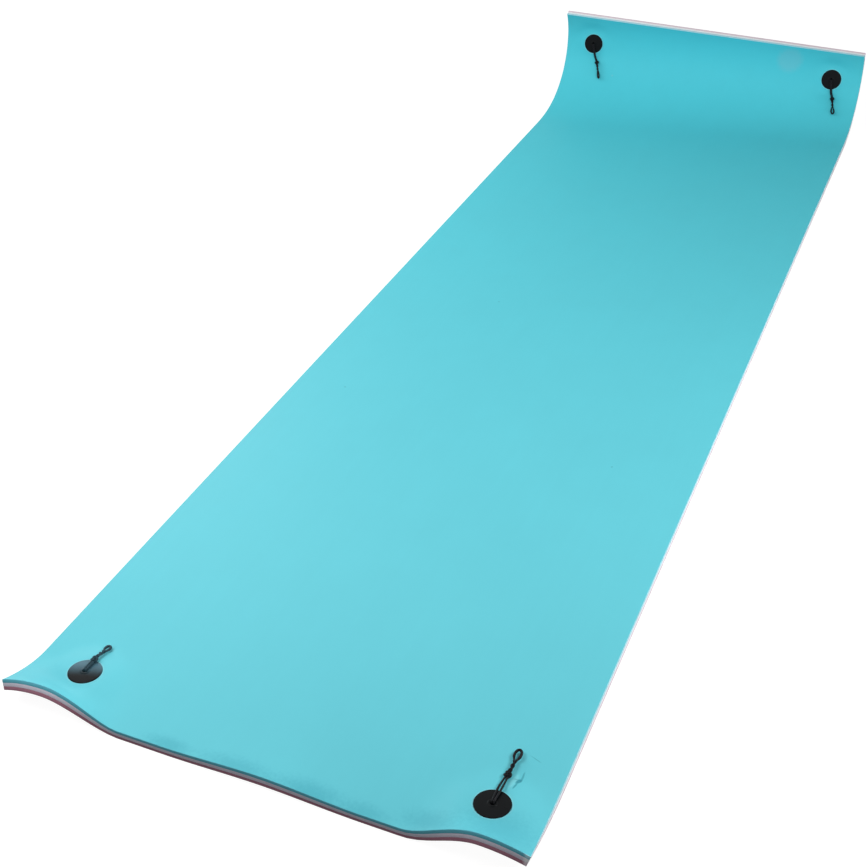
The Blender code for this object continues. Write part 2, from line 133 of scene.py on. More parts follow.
@dataclass(frozen=True)
class MatForm:
    """Sizes of the mat, and the surface that its underside follows as it lies."""

    half_length: float = 3.05
    width: float = 1.83
    layer: float = 0.012
    bond: float = 0.0003
    curl_length: tuple[float, float] = (0.994, 0.785)
    curl_angle: tuple[float, float] = (math.radians(114), math.radians(109))
    curl_growth: float = 1.6
    curl_slices: int = 24
    crest_height: float = 0.082
    corner_heights: tuple[float, float] = (0.052, 0.060)
    crest_insets: tuple[float, float] = (0.155, 0.145)
    crest_widths: tuple[float, float] = (0.290, 0.245)
    lift_reaches: tuple[float, float] = (0.220, 0.340)
    ripple_height: float = 0.012
    ripple_offset: float = 0.050
    ripple_width: float = 0.350
    ripple_reach: float = 0.200
    side_insets: tuple[float, ...] = (0.206, 0.165, 0.1715, 0.173)
    end_insets: tuple[float, float] = (0.160, 0.194)
    pad_radius: float = 0.0615
    pad_reach: float = 0.160
    pad_clearance: float = 0.0210
    front_slope_share: float = 0.5
    calm_inset: float = 0.180
    probe: float = 0.001
    swell: float = 0.0016
    swell_waves: tuple[tuple[float, float, float], ...] = (
        (5.1, 1.3, 0.0), (-3.7, 2.3, 1.0), (1.9, 3.9, 2.2))

    @property
    def thickness(self) -> float:
        """Thickness of the three bonded layers."""
        return 3 * self.layer + 2 * self.bond

    @property
    def half_width(self) -> float:
        """Half of the mat's width."""
        return self.width / 2

    @property
    def length(self) -> float:
        """Length of the foam along the sheet."""
        return 2 * self.half_length

    def front_lift(self, across: Array, along: Array) -> Array:
        """Height of the underside over the floor at the front end.

        Args:
            across: Places across the sheet from its middle.
            along: Places along the sheet from its front end.

        Returns:
            The heights.
        """
        corner, inset, width, reach = (np.where(across > 0, right, left) for left, right in (
            self.corner_heights, self.crest_insets, self.crest_widths, self.lift_reaches))
        crest = self.half_width - inset
        side = np.abs(across)
        slope = self.crest_height * Form.ease(1 - (crest - side) / width)
        drop = (self.crest_height - corner) * ((side - crest) / inset) ** 2
        height = np.where(side < crest, slope, self.crest_height - drop)
        away = np.abs(across - self.ripple_offset)
        ripple = self.ripple_height * Form.ease(1 - away / self.ripple_width)
        return height * Form.fade(along, reach) + ripple * Form.fade(along, self.ripple_reach)

    def free(self, across: Array, along: Array) -> Array:
        """Underside of the foam as it would lie without discs.

        Args:
            across: Places across the sheet from its middle.
            along: Places along the sheet from its front end.

        Returns:
            One point per place, with Y counted from the front end.
        """
        share = across / self.width + 0.5
        length = self.curl_length[0] + (self.curl_length[1] - self.curl_length[0]) * share
        angle = self.curl_angle[0] + (self.curl_angle[1] - self.curl_angle[0]) * share
        start = self.length - length
        step = np.maximum(along - start, 0.0) / self.curl_slices
        forward = np.minimum(along, start)
        up = self.front_lift(across, along)
        for number in range(self.curl_slices):
            bend = angle * ((number + 0.5) * step / length) ** self.curl_growth
            forward = forward + step * np.cos(bend)
            up = up + step * np.sin(bend)
        return np.stack([across, forward, up], axis=-1)

    def place(self, corner: Corner) -> tuple[float, float]:
        """Where a corner's discs sit.

        Args:
            corner: The corner.

        Returns:
            The place across and along the sheet.
        """
        front, back = self.end_insets
        along = self.length - back if corner.back else front
        return corner.side * (self.half_width - self.side_insets[corner.number]), along

    def slopes(self, surface: Callable[[Array, Array], Array], across: Array,
               along: Array) -> tuple[Array, Array, Array]:
        """Unit vectors across, along and square to a surface.

        Args:
            surface: Function from places across and along to points.
            across: Places across the sheet.
            along: Places along the sheet.

        Returns:
            The three sets of vectors.
        """
        side = surface(across + self.probe, along) - surface(across - self.probe, along)
        ahead = surface(across, along + self.probe) - surface(across, along - self.probe)
        side = Form.unit(side)
        normal = Form.unit(np.cross(side, ahead))
        return side, np.cross(normal, side), normal

    def pad(self, corner: Corner) -> tuple[Array, Array, Array, Array]:
        """Pad on the underside where a corner's discs clamp the foam.

        Args:
            corner: The corner.

        Returns:
            The pad's middle and its directions across, along and square to it.
        """
        across, along = (np.array([value]) for value in self.place(corner))
        centre = self.free(across, along)[0]
        side, forward, normal = (found[0] for found in self.slopes(self.free, across, along))
        if not corner.back:
            normal = Form.unit(normal * np.array([self.front_slope_share] * 2 + [1.0]))
            side = Form.unit(side - normal * (side @ normal))
            forward = np.cross(normal, side)
            centre[2] = max(centre[2], self.pad_clearance)
        return centre, side, forward, normal

    def unevenness(self, across: Array, along: Array) -> Array:
        """Slight swells of the foam between its ends, never under the floor.

        Args:
            across: Places across the sheet.
            along: Places along the sheet.

        Returns:
            The heights of the swells.
        """
        count = len(self.swell_waves)
        waves = sum(np.sin(turn_across * across + turn_along * along + phase)
                    for turn_across, turn_along, phase in self.swell_waves)
        waves = (waves + count) / (2 * count)
        inner = Form.ease((self.half_width - np.abs(across)) / self.calm_inset)
        reach = max(self.lift_reaches)
        ends = Form.ease((along - reach) / reach)
        ends = ends * Form.ease((self.length - max(self.curl_length) - along) / reach)
        return self.swell * waves * inner * ends

    def surface(self, across: Array, along: Array) -> Array:
        """Underside of the foam, flattened where the discs clamp it and held by the floor.

        Args:
            across: Places across the sheet.
            along: Places along the sheet.

        Returns:
            One point per place, with Y counted from the front end.
        """
        point = self.free(across, along)
        for corner in Corner:
            centre, side, forward, _ = self.pad(corner)
            pad_across, pad_along = self.place(corner)
            gone_across, gone_along = across - pad_across, along - pad_along
            reach = np.hypot(gone_across, gone_along)
            flat = centre + side * gone_across[..., None] + forward * gone_along[..., None]
            share = Form.ease((reach - self.pad_radius) / (self.pad_reach - self.pad_radius))
            point = flat + (point - flat) * share[..., None]
        point[..., 2] = np.maximum(point[..., 2], 0.0)
        point[..., 2] += self.unevenness(across, along)
        return point

    def point(self, across: Array, along: Array, height: Array | float) -> Array:
        """Points at a height over the underside, square to it, in the frame.

        Args:
            across: Places across the sheet.
            along: Places along the sheet.
            height: Heights over the underside.

        Returns:
            The points.
        """
        across, along, height = np.broadcast_arrays(across, along, height)
        across, along = across.astype(float), along.astype(float)
        normal = self.slopes(self.surface, across, along)[2]
        point = self.surface(across, along) + normal * height[..., None]
        return point - np.array([0.0, self.half_length, 0.0])

    def pad_matrix(self, corner: Corner, height: float, facing: int) -> Matrix:
        """Frame on a bore's axis, with +Z out of the foam.

        Args:
            corner: The corner.
            height: Height over the underside.
            facing: 1 where +Z comes out of the deck and -1 out of the underside.

        Returns:
            The frame.
        """
        centre, side, forward, normal = self.pad(corner)
        axes = Matrix(np.stack([side * facing, forward, normal * facing], axis=1).tolist())
        place = centre + normal * height - np.array([0.0, self.half_length, 0.0])
        return Matrix.Translation(Vector(place)) @ axes.to_4x4()


def operator(operation: str, flipped: bool = False) -> Callable[["Value", object], "Value"]:
    """Makes one of Python's operators for values, as a Math node.

    Args:
        operation: What the node does.
        flipped: True where the value stands on the right.

    Returns:
        The operator's method.
    """
    def worked(value: "Value", other: object) -> "Value":
        """Adds the node."""
        first, second = (other, value) if flipped else (value, other)
        return value.net.maths(operation, first, second)

    return worked


class Value:
    """A number, colour or vector socket of a material that Python's operators work on."""

    __add__ = operator("ADD")
    __radd__ = operator("ADD", True)
    __sub__ = operator("SUBTRACT")
    __rsub__ = operator("SUBTRACT", True)
    __mul__ = operator("MULTIPLY")
    __rmul__ = operator("MULTIPLY", True)
    __truediv__ = operator("DIVIDE")
    __pow__ = operator("POWER")

    def __init__(self, net: "Net", socket: bpy.types.NodeSocket) -> None:
        """Keeps the socket and the net that it belongs to."""
        self.net = net
        self.socket = socket

    def within(self, low: float, high: float) -> "Value":
        """Runs smoothly from 0 to 1 while this value goes from low to high."""
        return self.net.ramped(self, low, high)


class Net:
    """The node tree of a material or the sky, with one method that makes any node."""

    def __init__(self, owner: bpy.types.Material | bpy.types.World, shader: str,
                 output: str) -> None:
        """Turns an owner's nodes on.

        Args:
            owner: Material or world.
            shader: Name of the shader node that it starts with.
            output: Name of its output node.
        """
        owner.use_nodes = True
        self.owner = owner
        self.tree = owner.node_tree
        self.shader = self.tree.nodes[shader]
        self.output = self.tree.nodes[output]
        self._position = None

    @classmethod
    def of_material(cls, name: str) -> "Net":
        """Net of a new material, with an empty Principled shader."""
        return cls(bpy.data.materials.new(name), "Principled BSDF", "Material Output")

    @classmethod
    def of_sky(cls, name: str) -> "Net":
        """Net of a new world, with its background."""
        return cls(bpy.data.worlds.new(name), "Background", "World Output")

    def make(self, kind: str, settings: dict[str, object] | None = None,
             inputs: dict[str | int, object] | None = None) -> bpy.types.Node:
        """Makes a node.

        Args:
            kind: Type of the node.
            settings: Its properties, set first.
            inputs: Numbers, colours, vectors or values for its sockets.

        Returns:
            The node.
        """
        node = self.tree.nodes.new(kind)
        for key, setting in (settings or {}).items():
            setattr(node, key, setting)
        for key, given in (inputs or {}).items():
            self.feed(node.inputs[key], given)
        return node

    def feed(self, socket: bpy.types.NodeSocket, given: object) -> None:
        """Links a value to a socket, or sets the socket to a constant.

        Args:
            socket: Input of a node.
            given: Value, output socket or constant.
        """
        if isinstance(given, Value):
            self.tree.links.new(given.socket, socket)
        elif isinstance(given, bpy.types.NodeSocket):
            self.tree.links.new(given, socket)
        elif isinstance(given, tuple) and len(given) == 3 and len(socket.default_value) == 4:
            socket.default_value = (*given, 1.0)
        else:
            socket.default_value = given

    def maths(self, operation: str, first: object, second: object = 0.0) -> Value:
        """Value of a Math node."""
        node = self.make("ShaderNodeMath", {"operation": operation}, {0: first, 1: second})
        return Value(self, node.outputs[0])

    def ramped(self, given: Value, low: float, high: float) -> Value:
        """Value that runs smoothly from 0 to 1 between two limits.

        Args:
            given: Value to follow.
            low: Limit where the result is 0.
            high: Limit where the result is 1.

        Returns:
            The value.
        """
        node = self.make("ShaderNodeMapRange", {"interpolation_type": "SMOOTHSTEP"},
                         {"Value": given, "From Min": low, "From Max": high})
        return Value(self, node.outputs["Result"])

    def mix(self, share: object, first: object, second: object) -> Value:
        """Colour between two colours, by a share."""
        node = self.make("ShaderNodeMix", {"data_type": "RGBA"}, {0: share, 6: first, 7: second})
        return Value(self, node.outputs[2])

    @property
    def position(self) -> Value:
        """Place on the object, in metres.

        Returns:
            The vector, from one node that all its uses share.
        """
        if self._position is None:
            node = self.make("ShaderNodeTexCoord")
            self._position = Value(self, node.outputs["Object"])
        return self._position

    def stretched(self, scale: tuple[float, float, float]) -> Value:
        """Place on the object with each direction scaled.

        Args:
            scale: Factors along X, Y and Z.

        Returns:
            The vector.
        """
        node = self.make("ShaderNodeVectorMath", {"operation": "MULTIPLY"},
                         {0: self.position, 1: scale})
        return Value(self, node.outputs[0])

    def parts(self, given: Value) -> tuple[Value, Value, Value]:
        """The three numbers of a vector."""
        node = self.make("ShaderNodeSeparateXYZ", {}, {0: given})
        return tuple(Value(self, socket) for socket in node.outputs)

    def noise(self, scale: float, detail: float, roughness: float = 0.5,
              place: Value | None = None) -> Value:
        """Cloudy value about 0.5.

        Args:
            scale: Clouds to a metre.
            detail: Number of finer layers.
            roughness: Strength of the finer layers.
            place: Where it is looked up, if not at the place on the object.

        Returns:
            The value.
        """
        node = self.make("ShaderNodeTexNoise", {},
                         {"Vector": place or self.position, "Scale": scale, "Detail": detail,
                          "Roughness": roughness})
        return Value(self, node.outputs[0])

    def cells(self, scale: float) -> Value:
        """Distance from the middle of the nearest cell.

        Args:
            scale: Cells to a metre.

        Returns:
            The value.
        """
        node = self.make("ShaderNodeTexVoronoi", {},
                         {"Vector": self.position, "Scale": scale})
        return Value(self, node.outputs["Distance"])

    def toned(self, tone: Value, colour: Value) -> Value:
        """A colour made lighter or darker by a factor."""
        node = self.make("ShaderNodeHueSaturation", {}, {"Value": tone, "Color": colour})
        return Value(self, node.outputs[0])

    def bumped(self, height: Value, depth: float, strength: float = 1.0,
               under: bpy.types.NodeSocket | None = None) -> bpy.types.NodeSocket:
        """Normal of a bumpy surface.

        Args:
            height: Height from 0 to 1.
            depth: Metres that a height of 1 stands up.
            strength: Share of the bump that shows.
            under: Normal of a bump below this one.

        Returns:
            The normal's socket.
        """
        node = self.make("ShaderNodeBump", {}, {"Height": height, "Distance": depth,
                                                "Strength": strength})
        if under is not None:
            self.tree.links.new(under, node.inputs["Normal"])
        return node.outputs["Normal"]

    def dressed(self, colour: Value, roughness: Value, gloss: float,
                normal: bpy.types.NodeSocket) -> bpy.types.Material:
        """Gives the shader its colour, roughness, gloss and normal.

        Args:
            colour: Base colour.
            roughness: Roughness.
            gloss: Strength of the mirrored light.
            normal: Socket of the bumpy normal.

        Returns:
            The material.
        """
        self.feed(self.shader.inputs["Base Color"], colour)
        self.feed(self.shader.inputs["Roughness"], roughness)
        self.feed(self.shader.inputs["Specular IOR Level"], gloss)
        self.feed(self.shader.inputs["Normal"], normal)
        return self.owner

    def split(self, lighting: bpy.types.NodeSocket, seen: bpy.types.NodeSocket) -> None:
        """Ends the tree in one shader for the rays that light the mat and one for those that see.

        Args:
            lighting: Shader that lights the mat.
            seen: Shader for the camera, also in a mirrored or a clear surface.
        """
        path = self.make("ShaderNodeLightPath")
        sees = self.maths("MAXIMUM", path.outputs["Is Camera Ray"],
                          self.maths("MAXIMUM", path.outputs["Is Glossy Ray"],
                                     path.outputs["Is Transmission Ray"]))
        both = self.make("ShaderNodeMixShader", {}, {0: sees, 1: lighting, 2: seen})
        self.tree.links.new(both.outputs[0], self.output.inputs["Surface"])


@dataclass(frozen=True)
class Mark:
    """A scuff, line or speck, or a soft patch of painted shade: its middle, length, width, turn
    and colour.

    The middle is across and along the mat, or across and up for an upright mark on the curl.
    """

    across: float
    along: float
    length: float
    width: float
    turn: float
    colour: Colour
    strength: float
    softness: float = 0.5
    upright: bool = False
    wobble_scale: float = 90.0
    wobble_detail: float = 3.0

    def laid(self, net: Net, colour: Value) -> Value:
        """Lays the mark over a colour.

        Args:
            net: Net of the material.
            colour: Colour under the mark.

        Returns:
            The colour with the mark.
        """
        x, forward, up = net.parts(net.position)
        y = up if self.upright else forward
        cosine, sine = math.cos(self.turn), math.sin(self.turn)
        gone_x, gone_y = x - self.across, y - self.along
        ahead = (gone_x * cosine + gone_y * sine) / (self.length / 2)
        beside = (gone_y * cosine - gone_x * sine) / (self.width / 2)
        reach = (ahead ** 2 + beside ** 2) ** 0.5
        wobble = net.noise(self.wobble_scale, self.wobble_detail) - 0.5
        outside = (reach + wobble * self.softness).within(
            1 - self.softness, 1 + self.softness / 2)
        return net.mix((1 - outside) * self.strength, colour, self.colour)


@dataclass(frozen=True)
class FoamSkin:
    """Smooth skin of a closed-cell foam sheet, with its marks and its painted light and shade."""

    name: str
    colour: Colour
    far_painted_light_colour: Colour
    roughness: float = 0.52
    gloss: float = 0.11
    mottle: float = 0.05
    grain_depth: float = 0.00022
    marks: tuple[Mark, ...] = ()
    painted_light_reach: tuple[float, float] = (-2.4, 2.7)
    cloud: Cloud = (1.7, 3.0, 0.55)
    patch: Cloud = (7.0, 4.0, 0.6)
    patch_share: float = 0.6
    streak: Cloud = (1.0, 3.0, 0.6)
    streak_stretch: tuple[float, float, float] = (34.0, 1.4, 34.0)
    streak_share: float = 0.5
    rub: Cloud = (24.0, 4.0, 0.65)
    rub_share: float = 0.10
    cloud_rub_share: float = 0.08
    pores: float = 620.0
    pore_share: float = 0.5
    coarse: Cloud = (210.0, 3.0, 0.6)
    grain_strength: float = 0.6
    waves: Cloud = (11.0, 2.0, 0.5)
    wave_depth: float = 0.0012
    wave_strength: float = 0.5
    discs: tuple[tuple[float, float, float], ...] = ()
    # Radii of the painted highlight ring round each disc: where it starts, is full, fades and
    # ends.
    ring: tuple[float, float, float, float] = (0.0570, 0.0585, 0.0600, 0.0640)
    highlight_ring_colour: Colour = (0.36, 0.78, 0.86)
    highlight_ring_strength: float = 0.32

    def with_painted_highlight_rings(self, net: Net, colour: Value) -> Value:
        """Lays a painted highlight over a colour: a pale ring round each disc, where the pressed
        foam swells.

        Args:
            net: Net of the material.
            colour: Colour under the rings.

        Returns:
            The colour with the rings.
        """
        inner, full, fading, outer = self.ring
        for place in self.discs:
            node = net.make("ShaderNodeVectorMath", {"operation": "DISTANCE"},
                            {0: net.position, 1: place})
            reach = Value(net, node.outputs["Value"])
            highlight_mask = reach.within(inner, full) * (1 - reach.within(fading, outer))
            colour = net.mix(highlight_mask * self.highlight_ring_strength, colour, self.highlight_ring_colour)
        return colour

    def make(self) -> bpy.types.Material:
        """Makes the material.

        Returns:
            The material.
        """
        net = Net.of_material(self.name)
        cloud = net.noise(*self.cloud) - 0.5
        patch = net.noise(*self.patch) - 0.5
        streak = net.noise(*self.streak, net.stretched(self.streak_stretch)) - 0.5
        tone = (1 + cloud * self.mottle + patch * (self.mottle * self.patch_share)
                + streak * (self.mottle * self.streak_share))
        # Painted light: the colour loses some red towards the back, standing in for a pale sheen
        # at the front and teal bounce light at the back.
        ahead = net.parts(net.position)[1]
        colour = net.toned(tone, net.mix(ahead.within(*self.painted_light_reach), self.colour,
                                         self.far_painted_light_colour))
        for mark in self.marks:
            colour = mark.laid(net, colour)
        colour = self.with_painted_highlight_rings(net, colour)
        rub = net.noise(*self.rub) - 0.5
        roughness = self.roughness + rub * self.rub_share + cloud * self.cloud_rub_share
        grain = net.cells(self.pores) * self.pore_share + net.noise(*self.coarse)
        low = net.bumped(net.noise(*self.waves), self.wave_depth, self.wave_strength)
        high = net.bumped(grain, self.grain_depth, self.grain_strength, low)
        return net.dressed(colour, roughness, self.gloss, high)


@dataclass(frozen=True)
class CutFoam:
    """Cut side of a foam sheet, where its open cells show, with painted light that makes it paler
    at the right side and high on the curl.
    """

    name: str
    colour: Colour
    pale: Colour
    roughness: float = 0.72
    depth: float = 0.0006
    strength: float = 0.7
    gloss: float = 0.25
    painted_light_right: tuple[float, float] = (0.900, 0.913)
    painted_light_top: tuple[float, float] = (0.36, 0.44)
    pores: float = 430.0
    pore_share: float = 0.16
    broad: Cloud = (60.0, 3.0, 0.6)
    broad_share: float = 0.10
    broad_rub_share: float = 0.12
    knife: Cloud = (1.0, 2.0, 0.5)
    knife_stretch: tuple[float, float, float] = (16.0, 16.0, 520.0)
    knife_share: float = 0.08
    knife_depth_share: float = 0.6
    darkest: float = 0.93

    def make(self) -> bpy.types.Material:
        """Makes the material.

        Returns:
            The material.
        """
        net = Net.of_material(self.name)
        pores = net.cells(self.pores)
        broad = net.noise(*self.broad) - 0.5
        knife = net.noise(*self.knife, net.stretched(self.knife_stretch)) - 0.5
        tone = (self.darkest + pores * self.pore_share + broad * self.broad_share
                + knife * self.knife_share)
        # Painted light: the pale colour takes over at the mat's right side and high on the curled
        # end, where bright light falls.
        beside, _, up = net.parts(net.position)
        painted_light = net.maths("MAXIMUM", beside.within(*self.painted_light_right),
                             up.within(*self.painted_light_top))
        colour = net.toned(tone, net.mix(painted_light, self.colour, self.pale))
        roughness = self.roughness + broad * self.broad_rub_share
        normal = net.bumped(pores + knife * self.knife_depth_share, self.depth, self.strength)
        return net.dressed(colour, roughness, self.gloss, normal)


@dataclass(frozen=True)
class MouldedPlastic:
    """Black moulded plastic of the clamp discs, half gloss, with a fine leathery grain.

    A disc may carry a painted sheen: a pale teal cast, strongest on one side.
    """

    name: str
    colour: Colour = (0.0050, 0.0060, 0.0068)
    roughness: float = 0.30
    gloss: float = 0.065
    cloud: Cloud = (26.0, 4.0, 0.6)
    cloud_rub_share: float = 0.16
    dust: Cloud = (240.0, 5.0, 0.7)
    dust_reach: tuple[float, float] = (0.60, 0.78)
    dust_colour: Colour = (0.06, 0.065, 0.07)
    dust_share: float = 0.10
    dust_rub_share: float = 0.14
    grain: Cloud = (900.0, 3.0, 0.6)
    grain_depth: float = 0.00018
    grain_strength: float = 0.35
    swirl: Cloud = (70.0, 2.0, 0.5)
    swirl_depth: float = 0.0005
    swirl_strength: float = 0.25
    # Painted sheen: a pale teal cast laid over one side of the disc, standing in for reflected
    # light.
    film: float = 0.0
    film_colour: Colour = (0.10, 0.225, 0.29)
    film_middle: tuple[float, float] = (0.0, 0.0)
    film_reach: tuple[float, float] = (-0.030, 0.045)
    film_slant: float = 0.35
    film_blur: float = 0.02

    def make(self) -> bpy.types.Material:
        """Makes the material.

        Returns:
            The material.
        """
        net = Net.of_material(self.name)
        cloud = net.noise(*self.cloud) - 0.5
        dust = net.noise(*self.dust).within(*self.dust_reach)
        colour = net.mix(dust * self.dust_share, self.colour, self.dust_colour)
        # Painted sheen, strongest on one side of the disc.
        if self.film:
            x, y, _ = net.parts(net.position)
            beside, ahead = x - self.film_middle[0], y - self.film_middle[1]
            sheen_cover = ahead - beside * self.film_slant + cloud * self.film_blur
            colour = net.mix(sheen_cover.within(*self.film_reach) * self.film, colour,
                             self.film_colour)
        roughness = self.roughness + cloud * self.cloud_rub_share + dust * self.dust_rub_share
        low = net.bumped(net.noise(*self.swirl), self.swirl_depth, self.swirl_strength)
        high = net.bumped(net.noise(*self.grain), self.grain_depth, self.grain_strength, low)
        return net.dressed(colour, roughness, self.gloss, high)


@dataclass(frozen=True)
class BraidedCord:
    """Braided black cord, whose strands cross at a slant round it."""

    name: str
    colour: Colour = (0.0035, 0.0042, 0.0055)
    light: Colour = (0.013, 0.012, 0.017)
    roughness: float = 0.50
    gloss: float = 0.10
    strands: int = 6
    pitch: float = 0.010
    weave_rub_share: float = 0.16
    fibre: Cloud = (1400.0, 3.0, 0.6)
    fibre_share: float = 0.25
    fibre_rub_share: float = 0.10
    worn: Cloud = (55.0, 3.0, 0.6)
    worn_reach: tuple[float, float] = (0.45, 0.75)
    worn_share: float = 0.55
    least_light: float = 0.30
    depth: float = 0.0007
    strength: float = 0.8

    def make(self) -> bpy.types.Material:
        """Makes the material. Its map runs round the cord and, in metres, along it.

        Returns:
            The material.
        """
        net = Net.of_material(self.name)
        node = net.make("ShaderNodeUVMap", {"uv_map": MAP_NAME})
        around, ahead, _ = net.parts(Value(net, node.outputs[0]))
        left = net.maths("SINE", (around * self.strands + ahead / self.pitch) * math.tau)
        right = net.maths("SINE", (around * self.strands - ahead / self.pitch) * math.tau)
        weave = net.maths("MAXIMUM", left, right) * 0.5 + 0.5
        fibre = net.noise(*self.fibre)
        worn = net.noise(*self.worn).within(*self.worn_reach)
        share = weave ** 2 * (self.least_light + worn * self.worn_share)
        colour = net.mix(share, self.colour, self.light)
        roughness = self.roughness - weave * self.weave_rub_share + fibre * self.fibre_rub_share
        normal = net.bumped(weave + fibre * self.fibre_share, self.depth, self.strength)
        return net.dressed(colour, roughness, self.gloss, normal)


@dataclass(frozen=True)
class PaleFloor:
    """White floor for the camera, which keeps a faint shadow, and grey for the light."""

    name: str = "pale_floor"
    shade: float = 0.22
    seen_shade: float = 0.92
    kept_shadow: float = 0.18
    glow: float = 1.16
    far_reach: tuple[float, float] = (3.4, 6.0)

    def make(self) -> bpy.types.Material:
        """Makes the material.

        Returns:
            The material.
        """
        net = Net.of_material(self.name)
        net.feed(net.shader.inputs["Base Color"], (self.shade,) * 3)
        net.feed(net.shader.inputs["Roughness"], 1.0)
        net.feed(net.shader.inputs["Specular IOR Level"], 0.0)
        x, y, _ = net.parts(net.position)
        away = (x ** 2 + y ** 2) ** 0.5
        share = self.kept_shadow * (1 - away.within(*self.far_reach))
        shaded = net.make("ShaderNodeBsdfDiffuse", {}, {"Color": (self.seen_shade,) * 3})
        white = net.make("ShaderNodeEmission", {}, {"Color": WHITE, "Strength": self.glow})
        pale = net.make("ShaderNodeMixShader", {}, {0: share, 1: white.outputs[0],
                                                    2: shaded.outputs[0]})
        net.split(net.shader.outputs[0], pale.outputs[0])
        return net.owner


class Mesher:
    """Turns points and faces into objects of the scene."""

    @staticmethod
    def linked(name: str, mesh: bpy.types.Mesh,
               materials: list[bpy.types.Material]) -> bpy.types.Object:
        """Object of a mesh, with its materials and smooth faces.

        Args:
            name: Name of the object.
            mesh: Its mesh.
            materials: Its materials, in the order of the faces' numbers.

        Returns:
            The object.
        """
        for material in materials:
            mesh.materials.append(material)
        mesh.shade_smooth()
        item = bpy.data.objects.new(name, mesh)
        bpy.context.scene.collection.objects.link(item)
        return item

    @staticmethod
    def faced_out(mesh: bpy.types.Mesh) -> bpy.types.Mesh:
        """Turns all faces of a mesh outwards.

        Args:
            mesh: Mesh to turn.

        Returns:
            The same mesh.
        """
        shape = bmesh.new()
        shape.from_mesh(mesh)
        bmesh.ops.recalc_face_normals(shape, faces=shape.faces[:])
        shape.to_mesh(mesh)
        shape.free()
        return mesh

    @staticmethod
    def mesh(name: str, points: Array, faces: list[tuple[int, ...]]) -> bpy.types.Mesh:
        """Mesh whose faces all look outwards.

        Args:
            name: Name of the mesh.
            points: Its points.
            faces: Numbers of each face's points.

        Returns:
            The mesh.
        """
        mesh = bpy.data.meshes.new(name)
        mesh.from_pydata(points.tolist(), [], faces)
        return Mesher.faced_out(mesh)

    @staticmethod
    def turned(name: str, profile: list[tuple[float, float]], steps: int) -> bpy.types.Mesh:
        """Closed mesh of an outline turned about Z.

        Args:
            name: Name of the mesh.
            profile: Closed outline as radius and height.
            steps: Steps round the axis.

        Returns:
            The mesh.
        """
        count = len(profile)
        turns = [math.tau * step / steps for step in range(steps)]
        points = np.array([(radius * math.cos(turn), radius * math.sin(turn), height)
                           for turn in turns for radius, height in profile])
        faces = [(step * count + spot, step * count + (spot + 1) % count,
                  (step + 1) % steps * count + (spot + 1) % count,
                  (step + 1) % steps * count + spot)
                 for step in range(steps) for spot in range(count)]
        return Mesher.mesh(name, points, faces)

    @staticmethod
    def carried(line: Array, closed: bool) -> tuple[Array, Array]:
        """Directions of a line, and one square to each that is carried along without a twist.

        Args:
            line: Points of the line.
            closed: True where the line closes on itself.

        Returns:
            The directions along the line and those square to it.
        """
        if closed:
            after, before = np.roll(line, -1, axis=0), np.roll(line, 1, axis=0)
        else:
            after = np.vstack([line[1:], 2 * line[-1] - line[-2]])
            before = np.vstack([2 * line[0] - line[1], line[:-1]])
        heading = Form.unit(after - before)
        normal = np.zeros_like(line)
        start = np.cross(heading[0], OFF_AXIS)
        normal[0] = start / np.linalg.norm(start)
        for spot in range(1, len(line)):
            turned = normal[spot - 1] - heading[spot] * (normal[spot - 1] @ heading[spot])
            normal[spot] = turned / np.linalg.norm(turned)
        return heading, normal

    @staticmethod
    def tube(name: str, line: Array, radius: float | Array, sides: int,
             closed: bool) -> bpy.types.Mesh:
        """Cord along a line, with a map that runs round it and, in metres, along it.

        Args:
            name: Name of the mesh.
            line: Points of the middle line.
            radius: Half of the cord's thickness, all along it or point by point.
            sides: Sides round the cord.
            closed: True where the cord closes on itself.

        Returns:
            The mesh.
        """
        count = len(line)
        heading, normal = Mesher.carried(line, closed)
        twist = np.zeros(count)
        if closed:
            last = normal[-1] - heading[0] * (normal[-1] @ heading[0])
            side = np.cross(heading[0], normal[0])
            miss = math.atan2(last @ side, last @ normal[0])
            twist = -miss * np.arange(count) / count
        side = np.cross(heading, normal)
        thick = np.broadcast_to(radius, count)[:, None]
        rings = []
        for step in range(sides):
            turn = math.tau * step / sides + twist[:, None]
            rings.append(line + (normal * np.cos(turn) + side * np.sin(turn)) * thick)
        points = np.stack(rings, axis=1).reshape(-1, 3)
        way = Form.travelled(np.vstack([line, line[:1]]) if closed else line)
        faces, spots = [], []
        for spot in range(count if closed else count - 1):
            ahead = (spot + 1) % count
            for step in range(sides):
                beside = (step + 1) % sides
                faces.append((spot * sides + step, ahead * sides + step, ahead * sides + beside,
                              spot * sides + beside))
                turn, next_turn = step / sides, (step + 1) / sides
                spots.append(((turn, way[spot]), (turn, way[spot + 1]),
                              (next_turn, way[spot + 1]), (next_turn, way[spot])))
        if not closed:
            for ring, flip in ((0, 1), (count - 1, -1)):
                faces.append(tuple(ring * sides + step for step in range(sides))[::flip])
                spots.append(((0.5, way[ring]),) * sides)
        mesh = bpy.data.meshes.new(name)
        mesh.from_pydata(points.tolist(), [], faces)
        layer = mesh.uv_layers.new(name=MAP_NAME)
        layer.data.foreach_set("uv", np.array([value for face in spots for spot in face
                                               for value in spot], dtype=np.float32))
        return Mesher.faced_out(mesh)

    @staticmethod
    def cut(item: bpy.types.Object, cutters: list[bpy.types.Object]) -> None:
        """Cuts shapes out of an object and removes the cutters.

        Args:
            item: Object to cut.
            cutters: Shapes to cut out of it.
        """
        for cutter in cutters:
            step = item.modifiers.new("hole", "BOOLEAN")
            step.operation = "DIFFERENCE"
            step.object = cutter
        bpy.context.view_layer.update()
        graph = bpy.context.evaluated_depsgraph_get()
        mesh = bpy.data.meshes.new_from_object(item.evaluated_get(graph))
        item.modifiers.clear()
        item.data = mesh
        for cutter in cutters:
            bpy.data.objects.remove(cutter)


